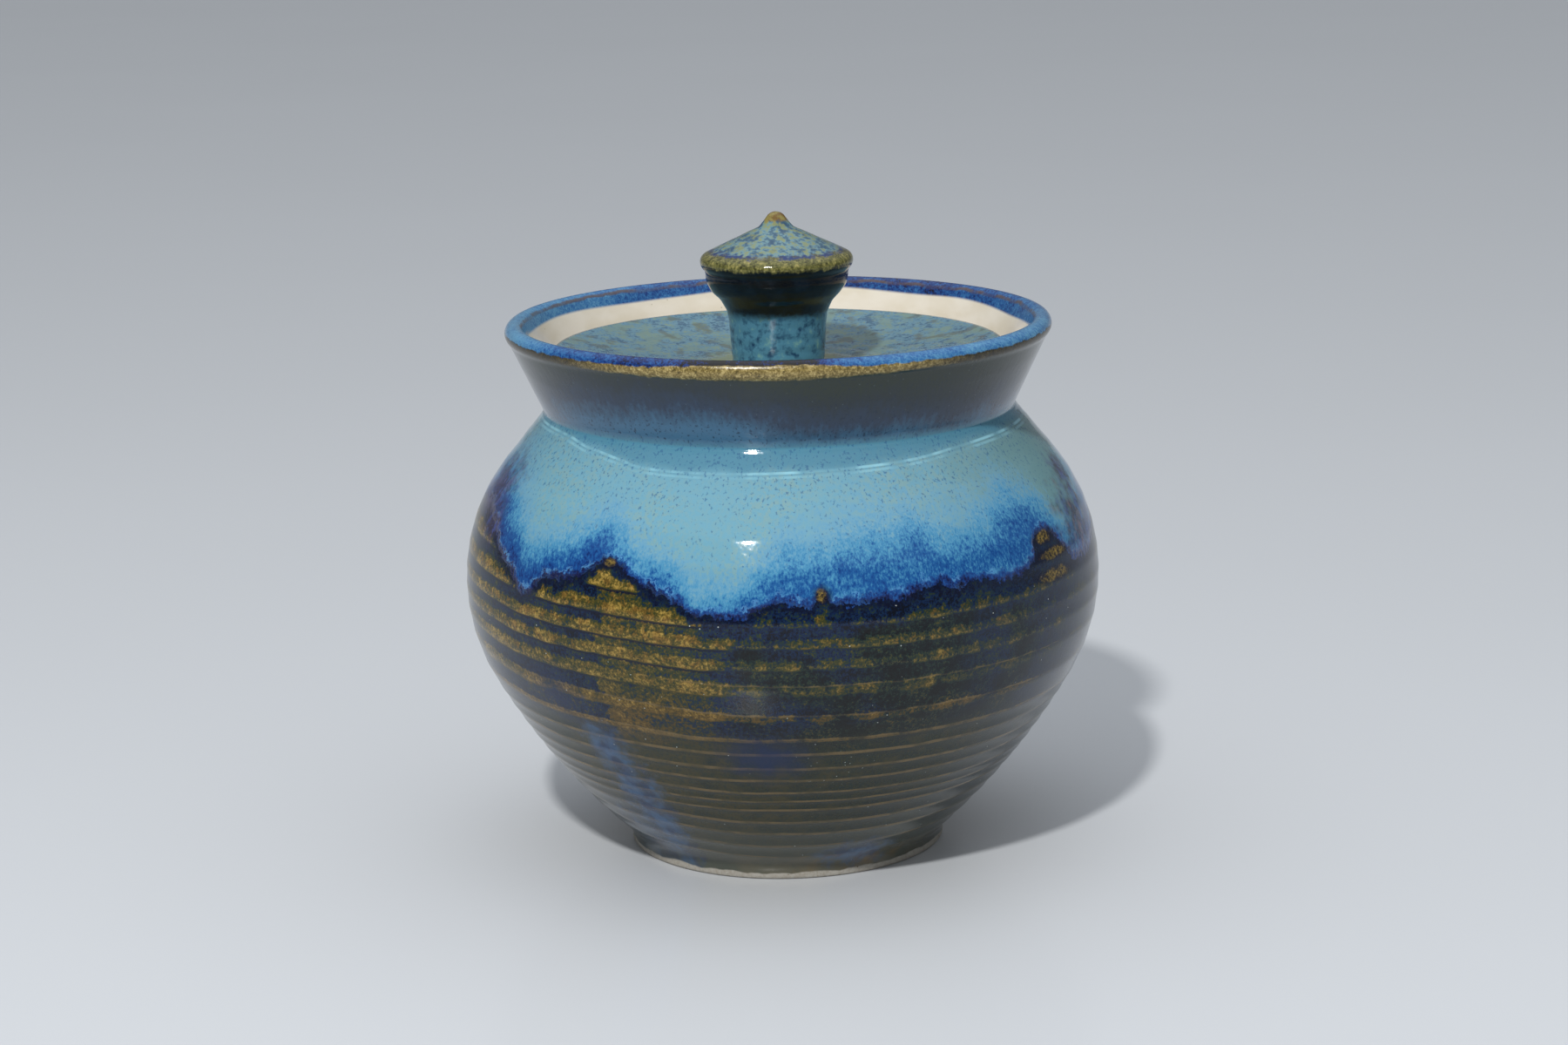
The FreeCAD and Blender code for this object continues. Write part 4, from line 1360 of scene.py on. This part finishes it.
@dataclass(frozen=True)
class KnobFinish:
    """The knob's glaze: pale on the cone, olive on the rim and tip, near black in the hollow, where darker pooled
    glaze carries painted shade from the cap.
    """

    pale: Colour = fired(94, 130, 142)
    green: Colour = fired(122, 130, 82)
    blue: Colour = fired(32, 66, 94)
    low_blue: Colour = fired(66, 108, 148)
    cobalt: Colour = fired(20, 46, 96)
    olive_dark: Colour = fired(42, 40, 18)
    olive: Colour = fired(94, 94, 50)
    olive_light: Colour = fired(146, 138, 82)
    tip_dark: Colour = fired(100, 76, 28)
    tip: Colour = fired(128, 118, 62)
    # Painted shade: the hollow under the cap is near black, darker pooled glaze with the cap's shadow painted in.
    hollow: Colour = fired(3, 8, 13)
    hollow_shade_blue: Colour = fired(8, 20, 30)
    stem: Colour = fired(74, 124, 146)
    stem_light: Colour = fired(118, 160, 148)
    stem_dark: Colour = fired(22, 54, 84)
    # Heights above the pad where each part of the knob starts (the hollow's start is where the painted shade under the
    # cap begins), and the radii of the cone's skirt.
    hollow_shade_from: Place = (15.5, 18.5)
    rim_from: Place = (30.2, 31.2)
    ring_from: Place = (33.7, 34.1)
    cone_from: Place = (34.3, 34.9)
    tip_from: Place = (42.0, 42.8)
    cone_skirt: Place = (16.5, 19.5)
    name: str = "knob_glaze"

    def make(self, spiral: Spiral, pad: float) -> bpy.types.Material:
        """Build the material.

        Args:
            spiral: The finger spiral of the knob.
            pad: Height of the lid's pad that the knob stands on.

        Returns:
            The material.
        """
        material, graph, shader = new_material(self.name)
        on = Surface(graph, spiral)
        up = graph.less(on.height, pad)
        cloud = graph.noise(on.place, size=3.4, detail=4.0, shift=41.0, rough=0.6)
        other = graph.noise(on.place, size=4.4, detail=3.0, shift=45.0, rough=0.6)
        spots = graph.noise(on.place, size=1.8, detail=3.0, shift=47.0, rough=0.6)
        fine = graph.noise(on.place, size=0.7, detail=3.0, shift=42.0, rough=0.7)
        level = graph.total(up, graph.shake(cloud, 4.0))
        mixed = graph.math("MULTIPLY_ADD", cloud, 0.75, graph.product(spots, 0.25))
        stem = graph.ramp(mixed, (0.36, self.stem_dark), (0.5, self.stem), (0.56, self.stem), (0.7, self.stem_light))
        hollow = graph.mix(graph.fade(other, 0.45, 0.65), self.hollow, self.hollow_shade_blue)
        speckle = graph.math("MULTIPLY_ADD", fine, 0.5, graph.product(spots, 0.5))
        olive = graph.ramp(speckle, (0.38, self.olive_dark), (0.5, self.olive), (0.62, self.olive_light))
        cone = graph.mix(graph.fade(other, 0.48, 0.62, 0.0, 0.85), self.pale, self.blue)
        cone = graph.mix(graph.fade(spots, 0.48, 0.62, 0.0, 0.8), cone, self.green)
        cone = graph.mix(graph.fade(spots, 0.5, 0.4, 0.0, 0.75), cone, self.blue)
        low = graph.total(on.radius, graph.shake(other, 6.0))
        cone = graph.mix(graph.fade(low, *self.cone_skirt, 0.0, 0.85), cone, self.low_blue)
        # Painted shade: above the stem the hollow under the cap turns near black.
        colour = graph.mix(graph.fade(level, *self.hollow_shade_from), stem, hollow)
        rim = graph.total(up, graph.shake(spots, 2.4))
        colour = graph.mix(graph.fade(rim, *self.rim_from), colour, olive)
        ring = graph.product(graph.fade(rim, *self.ring_from), graph.fade(cloud, 0.35, 0.55))
        colour = graph.mix(ring, colour, self.cobalt)
        colour = graph.mix(graph.fade(rim, *self.cone_from), colour, cone)
        tip = graph.mix(graph.fade(spots, 0.4, 0.6), self.tip_dark, self.tip)
        colour = graph.mix(graph.fade(rim, *self.tip_from), colour, tip)
        relief = graph.total(graph.product(cloud, 0.1), graph.product(fine, 0.03))
        finish_material(graph, shader, Coat(colour, 0.08, relief))
        return material


@dataclass(frozen=True)
class TableFinish:
    """The plain pale paint of the table."""

    paint: Colour = fired(203, 207, 212)
    shade: float = 0.97
    cloud_size: float = 0.3
    rough: float = 0.25
    name: str = "table_paint"

    def make(self) -> bpy.types.Material:
        """Build the material, which can be seen through from below so that the foot shows.

        Returns:
            The material.
        """
        material, graph, shader = new_material(self.name)
        coords = graph.node("ShaderNodeTexCoord").outputs["Object"]
        darker = tuple(self.shade * part for part in self.paint[:3]) + (1.0,)
        cloud = graph.noise(coords, size=self.cloud_size, detail=4.0)
        graph.feed(shader.inputs["Base Color"], graph.mix(cloud, self.paint, darker))
        shader.inputs["Roughness"].default_value = self.rough
        clear = graph.node("ShaderNodeBsdfTransparent")
        facing = graph.node("ShaderNodeNewGeometry").outputs["Backfacing"]
        either = graph.node("ShaderNodeMixShader")
        graph.feed(either.inputs[0], facing)
        graph.feed(either.inputs[1], shader.outputs[0])
        graph.feed(either.inputs[2], clear.outputs[0])
        output = next(n for n in material.node_tree.nodes if n.type == "OUTPUT_MATERIAL")
        graph.feed(output.inputs["Surface"], either.outputs[0])
        return material


def new_material(name: str) -> tuple[bpy.types.Material, Graph, bpy.types.Node]:
    """Start a material.

    Args:
        name: Its name.

    Returns:
        The material, its graph and its Principled shader.
    """
    material = bpy.data.materials.new(name)
    material.use_nodes = True
    shader = next(n for n in material.node_tree.nodes if n.type == "BSDF_PRINCIPLED")
    shader.inputs["IOR"].default_value = GLAZE_IOR
    return material, Graph(material.node_tree), shader


def finish_material(graph: Graph, shader: bpy.types.Node, coat: Coat) -> None:
    """Join a coat to the shader.

    Args:
        graph: The tree.
        shader: The Principled shader.
        coat: The whole coat.
    """
    bump = graph.node("ShaderNodeBump")
    graph.feed(bump.inputs["Strength"], 1.0)
    graph.feed(bump.inputs["Distance"], 1 / METRE)
    graph.feed(bump.inputs["Height"], coat.relief)
    graph.feed(shader.inputs["Normal"], bump.outputs[0])
    graph.feed(shader.inputs["Base Color"], coat.colour)
    graph.feed(shader.inputs["Roughness"], coat.rough)


# ---------------------------------------------------------------------------
# Pieces
# ---------------------------------------------------------------------------


def profile(heights: np.ndarray, marks: tuple[Place, ...]) -> np.ndarray:
    """Read the straight pieces between given marks at some heights."""
    return np.interp(heights, *zip(*marks))


def settle(piece: bpy.types.Object, body: Body, node: str) -> bpy.types.Object:
    """Tie a finished piece to the frame and report it.

    Args:
        piece: The piece.
        body: The body that it rides on.
        node: The solid that it stands for.

    Returns:
        The piece.
    """
    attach(piece, body.value)
    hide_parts(node)
    faces = sum(len(face.vertices) - 2 for face in piece.data.polygons)
    LOG.info("%s rides on %s: %d triangles", piece.name, body.value, faces)
    return piece


@dataclass
class Pot:
    """The thrown pot: foot ring, belly, shoulder, collar, lip, gallery and inside."""

    foot_radius: float = 45.0
    foot_height: float = 4.0
    foot_edge: float = 1.8
    foot_fillet: float = 1.5
    ring_inside: float = 38.0
    recess_height: float = 3.0
    floor_height: float = 9.5
    wall: float = 6.0
    flank_centre: Place = (-90.57, 151.04)
    flank_bend: float = 200.0
    flank_angles: Place = (-47.3, -29.8)
    belly_centre: Place = (37.0, 78.0)
    belly_bend: float = 53.0
    shoulder_angle: float = 39.3
    neck: Place = (66.2, 126.0)
    lip_centre: Place = (74.1, 148.45)
    lip_bend: float = 2.75
    lip_angles: Place = (-53.0, 155.3)
    gallery: Place = (66.0, 137.5)
    throat_radius: float = 57.0
    ledge_height: float = 127.8
    # Degrees of the flank in the soft foot joint, the recess's slant and where the inner flank ends.
    foot_sweep: float = 1.2
    recess_corner: float = 0.6
    inner_flank_end: float = -46.6
    crest_relief: float = 0.24
    # How strong the ribs are at each height, and within what radius and height there are none.
    ribs_outside: tuple[Place, ...] = (
        (3, 0), (8, .9), (60, .7), (100, .45), (120, .45), (128, 0), (140, .15), (146, 0))
    ribs_inside: tuple[Place, ...] = ((10, 0), (20, 1), (115, 1), (125, 0))
    smooth_radius: float = 40.0
    smooth_height: float = 3.0
    wobble: float = 0.3
    seed: int = 3

    def meridian(self) -> Meridian:
        """The half section, from under the foot up the outside and down the inside.

        Returns:
            The meridian.
        """
        inner_flank, inner_belly = self.flank_bend - self.wall, self.belly_bend - self.wall
        first, last = self.flank_angles
        swept = first + self.foot_sweep
        pen = Meridian((0.0, self.recess_height))
        pen.line((self.ring_inside - self.recess_corner, self.recess_height), gap=3.0)
        pen.line((self.ring_inside, 0.0), soft=0.6, gap=0.8)
        pen.line((self.foot_radius, 0.0), soft=0.5, gap=0.8)
        pen.line((self.foot_radius, self.foot_edge), soft=0.5, gap=0.5)
        pen.line((self.foot_radius, self.foot_height), soft=self.foot_fillet, gap=0.5)
        pen.arc(self.flank_centre, self.flank_bend, first, swept, soft=self.foot_fillet, gap=0.7)
        pen.arc(self.flank_centre, self.flank_bend, swept, last, soft=0.5, gap=0.7)
        pen.arc(self.belly_centre, self.belly_bend, last, self.shoulder_angle, gap=0.7)
        pen.line(self.neck, soft=1.2, gap=0.7)
        pen.arc(self.lip_centre, self.lip_bend, *self.lip_angles, soft=0.45, gap=0.4)
        pen.line(self.gallery, soft=0.8, gap=0.7)
        pen.line((self.throat_radius, self.gallery[1]), soft=0.6, gap=0.8)
        pen.line((self.throat_radius, self.ledge_height), soft=1.2, gap=1.0)
        pen.arc(self.belly_centre, inner_belly, self.shoulder_angle, last, soft=1.0, gap=1.7)
        pen.arc(self.flank_centre, inner_flank, last, self.inner_flank_end, soft=4.0, gap=1.7)
        pen.line((0.0, self.floor_height), soft=4.0, gap=2.2)
        return pen

    def build(self, wheel: Wheel) -> bpy.types.Object:
        """Throw and glaze the pot.

        Args:
            wheel: The wheel that it is thrown on.

        Returns:
            The piece.
        """
        pen = self.meridian()
        rings, run = pen.rings()
        top = run[np.argmax(rings[:, 1])]
        outside = run < top
        relief = np.where(outside, profile(rings[:, 1], self.ribs_outside), profile(rings[:, 1], self.ribs_inside))
        relief[(rings[:, 0] < self.smooth_radius) | (rings[:, 1] < self.smooth_height)] = 0
        piece = wheel.throw("bean_pot", pen, top, relief, None, self.crest_relief, self.wobble, self.seed,
                            PotFinish().make(wheel.spiral))
        return settle(piece, Body.POT, "pot_body")


@dataclass
class LidPlate:
    """The dished lid plate, with the flange that centres it in the throat."""

    seat: float = 137.5
    radius: float = 63.3
    dish_centre: float = 374.97
    dish_bend: float = 240.0
    thickness: float = 6.0
    flange_outside: float = 55.5
    flange_inside: float = 50.0
    flange_foot: float = 128.5
    pad_radius: float = 16.3
    pad_height: float = 135.56
    # How far apart the ribs lie, where they stop before the edge and where the glaze ends past it.
    pitch: float = 5.5
    ribs_stop: float = 4.0
    glaze_end: float = 2.0
    crest_relief: float = 0.1
    wobble: float = 0.15
    seed: int = 5

    def meridian(self) -> Meridian:
        """The half section, from the middle of the dish out over the edge and back underneath.

        Returns:
            The meridian.
        """
        under = self.dish_bend + self.thickness
        centre = (0.0, self.dish_centre)
        rise = math.degrees(math.asin(self.radius / self.dish_bend))
        pad = math.degrees(math.asin(self.pad_radius / self.dish_bend))
        root = math.degrees(math.asin(self.flange_inside / under))
        pen = Meridian((0.0, self.pad_height))
        pen.line((self.pad_radius, self.pad_height), gap=1.6)
        pen.arc(centre, self.dish_bend, pad - 90, rise - 90, soft=0.9, gap=0.7)
        pen.line((self.radius, self.seat), soft=0.8, gap=0.5)
        pen.line((self.flange_outside, self.seat), soft=0.6, gap=0.8)
        pen.line((self.flange_outside, self.flange_foot), soft=0.6, gap=0.8)
        pen.line((self.flange_inside, self.flange_foot), soft=0.6, gap=0.8)
        pen.arc(centre, under, root - 90, -90, soft=0.8, gap=1.2)
        return pen

    def build(self, wheel: Wheel) -> bpy.types.Object:
        """Throw and glaze the lid plate.

        Args:
            wheel: The wheel that it is thrown on.

        Returns:
            The piece.
        """
        pen = self.meridian()
        rings, run = pen.rings()
        edge = np.argmax(rings[:, 0])
        turn = rings[:, 0] / self.pitch
        relief = np.where(run < run[edge] - self.ribs_stop, 1.0, 0.0)
        finish = LidFinish().make(wheel.spiral, self.radius, self.flange_foot)
        piece = wheel.throw("lid_dish", pen, run[edge] + self.glaze_end, relief, turn, self.crest_relief,
                            self.wobble, self.seed, finish)
        return settle(piece, Body.LID, "lid_plate")


@dataclass
class Knob:
    """The lid's knob: a stem luted to the pad, a hollow flare and a pointed cap."""

    pad: float = 135.56
    stem_radius: float = 12.9
    stem_top: Place = (13.6, 13.5)
    luting: float = 2.6
    luting_edge: float = 0.5
    hollow_bend: float = 11.4
    flare: float = 48.3
    cup: Place = (20.1, 28.0)
    cup_bend: float = 8.0
    rim_centre: Place = (19.1, 31.2)
    rim_bend: float = 2.5
    cone_top: Place = (4.6, 40.7)
    tip_bend: float = 3.2
    tip_sweep: Place = (90, 40)
    rim_sweep: Place = (59, -66)
    top: float = 44.88
    pitch: float = 3.4
    crest_relief: float = 0.12
    # How strong the ribs are at each height above the pad.
    ribs: tuple[Place, ...] = ((2, 0), (4, 1), (26, 1), (30, 0), (33, 0), (36, .5), (40, .5), (43, 0))
    wobble: float = 0.2
    seed: int = 8

    def meridian(self) -> Meridian:
        """The half section, from the tip down the outside to the pad.

        Returns:
            The meridian.
        """
        def up(place: Place) -> Place:
            """A place above the pad, as a place above the table."""
            return place[0], place[1] + self.pad

        pen = Meridian(up((0.0, self.top)))
        tip = up((0.0, self.top - self.tip_bend))
        hollow = up((self.stem_top[0] + self.hollow_bend, self.stem_top[1]))
        cup = up((self.cup[0] - self.cup_bend, self.cup[1]))
        pen.arc(tip, self.tip_bend, *self.tip_sweep, soft=0.3, gap=0.3)
        pen.line(up(self.cone_top), soft=0.9, gap=0.4)
        pen.arc(up(self.rim_centre), self.rim_bend, *self.rim_sweep, soft=0.5, gap=0.5)
        pen.line(up(self.cup), soft=0.5, gap=0.4)
        pen.arc(cup, self.cup_bend, 0, -self.flare, gap=0.6)
        pen.arc(hollow, self.hollow_bend, 180 - self.flare, 180, gap=0.6)
        pen.line(up((self.stem_radius, self.luting + self.luting_edge)), soft=0.7, gap=0.6)
        coil = up((self.stem_radius + self.luting, self.luting + self.luting_edge))
        pen.arc(coil, self.luting, 180, 270, soft=0.4, gap=0.4)
        pen.line(up((self.stem_radius + self.luting, 0.0)), soft=0.2, gap=0.3)
        pen.line(up((0.0, 0.0)), soft=0.3, gap=2.0)
        return pen

    def build(self, wheel: Wheel) -> bpy.types.Object:
        """Throw and glaze the knob.

        Args:
            wheel: The wheel that it is thrown on.

        Returns:
            The piece.
        """
        pen = self.meridian()
        rings, _ = pen.rings()
        above = rings[:, 1] - self.pad
        piece = wheel.throw("lid_knob_cap", pen, 0.0, profile(above, self.ribs), above / self.pitch,
                            self.crest_relief, self.wobble, self.seed, KnobFinish().make(wheel.spiral, self.pad))
        return settle(piece, Body.LID, "lid_knob")


# ---------------------------------------------------------------------------
# Studio
# ---------------------------------------------------------------------------


@dataclass
class Studio:
    """A pale table, one small lamp, even light from above and a camera a little above the lid."""

    table_size: float = 40.0
    eye: tuple[float, float, float] = (0.0, -0.967, 0.307)
    look: tuple[float, float, float] = (0.0006, 0.0, 0.0915)
    roll: float = -0.02
    lens: float = 80.0
    sensor: float = 36.0
    clip: Place = (0.05, 60.0)
    key_place: tuple[float, float, float] = (-0.56, -2.1, 2.15)
    key_aim: tuple[float, float, float] = (0.0, 0.0, 0.08)
    key_size: float = 0.17
    key_power: float = 71.0
    key_colour: Colour = (1.0, 0.98, 0.95, 1.0)
    room_light: tuple[tuple[float, float], ...] = ((0.0, 0.2), (0.25, 0.16), (0.5, 0.32), (0.8, 0.9), (1.0, 1.3))
    room_tint: tuple[float, float, float] = (0.96, 0.99, 1.03)

    def camera(self) -> None:
        """Stand the camera at its place."""
        data = bpy.data.cameras.new("camera")
        data.lens, data.sensor_width = self.lens, self.sensor
        data.clip_start, data.clip_end = self.clip
        seen = bpy.data.objects.new("camera", data)
        bpy.context.scene.collection.objects.link(seen)
        back = (Vector(self.eye) - Vector(self.look)).normalized()
        level = Vector((0, 0, 1)).cross(back).normalized()
        above = back.cross(level)
        right = level * math.cos(self.roll) + above * math.sin(self.roll)
        up = above * math.cos(self.roll) - level * math.sin(self.roll)
        turned = Matrix((right, up, back)).transposed().to_4x4()
        seen.matrix_world = Matrix.Translation(self.eye) @ turned
        bpy.context.scene.camera = seen

    def key(self) -> None:
        """Hang the one lamp, small and round, so that it faces the pot."""
        data = bpy.data.lights.new("key", "AREA")
        data.shape, data.size, data.energy, data.color = "DISK", self.key_size, self.key_power, self.key_colour[:3]
        hung = bpy.data.objects.new("key", data)
        bpy.context.scene.collection.objects.link(hung)
        hung.location = self.key_place
        hung.rotation_mode = "QUATERNION"
        hung.rotation_quaternion = (Vector(self.key_aim) - Vector(self.key_place)).to_track_quat("-Z", "Y")

    def table(self) -> None:
        """Lay the table."""
        half = self.table_size / 2
        mesh = bpy.data.meshes.new("table")
        mesh.from_pydata([(-half, -half, 0), (half, -half, 0), (half, half, 0), (-half, half, 0)], [], [(0, 1, 2, 3)])
        mesh.materials.append(TableFinish().make())
        top = bpy.data.objects.new("table", mesh)
        bpy.context.scene.collection.objects.link(top)

    def room(self) -> None:
        """Fill the room with even light that is strongest overhead."""
        room = bpy.data.worlds.new("room")
        room.use_nodes = True
        bpy.context.scene.world = room
        graph = Graph(room.node_tree)
        parts = graph.node("ShaderNodeSeparateXYZ")
        graph.feed(parts.inputs[0], graph.node("ShaderNodeTexCoord").outputs["Generated"])
        stops = [(place, (*(light * part for part in self.room_tint), 1.0)) for place, light in self.room_light]
        light = next(n for n in room.node_tree.nodes if n.type == "BACKGROUND")
        graph.feed(light.inputs["Color"], graph.ramp(parts.outputs[2], *stops))

    def build(self) -> None:
        """Set up the whole studio."""
        self.camera()
        self.table()
        self.room()
        self.key()
        bpy.context.scene.view_settings.view_transform = "Standard"
        LOG.info("the studio is set")


def main() -> None:
    """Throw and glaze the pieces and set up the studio."""
    logging.basicConfig(level=logging.INFO, format="%(name)s: %(message)s")
    wheel = Wheel()
    Studio().build()
    for piece in (Pot(), LidPlate(), Knob()):
        made = piece.build(wheel)
        LOG.info("%s is finished", made.name)


if __name__ == "__main__":
    main()
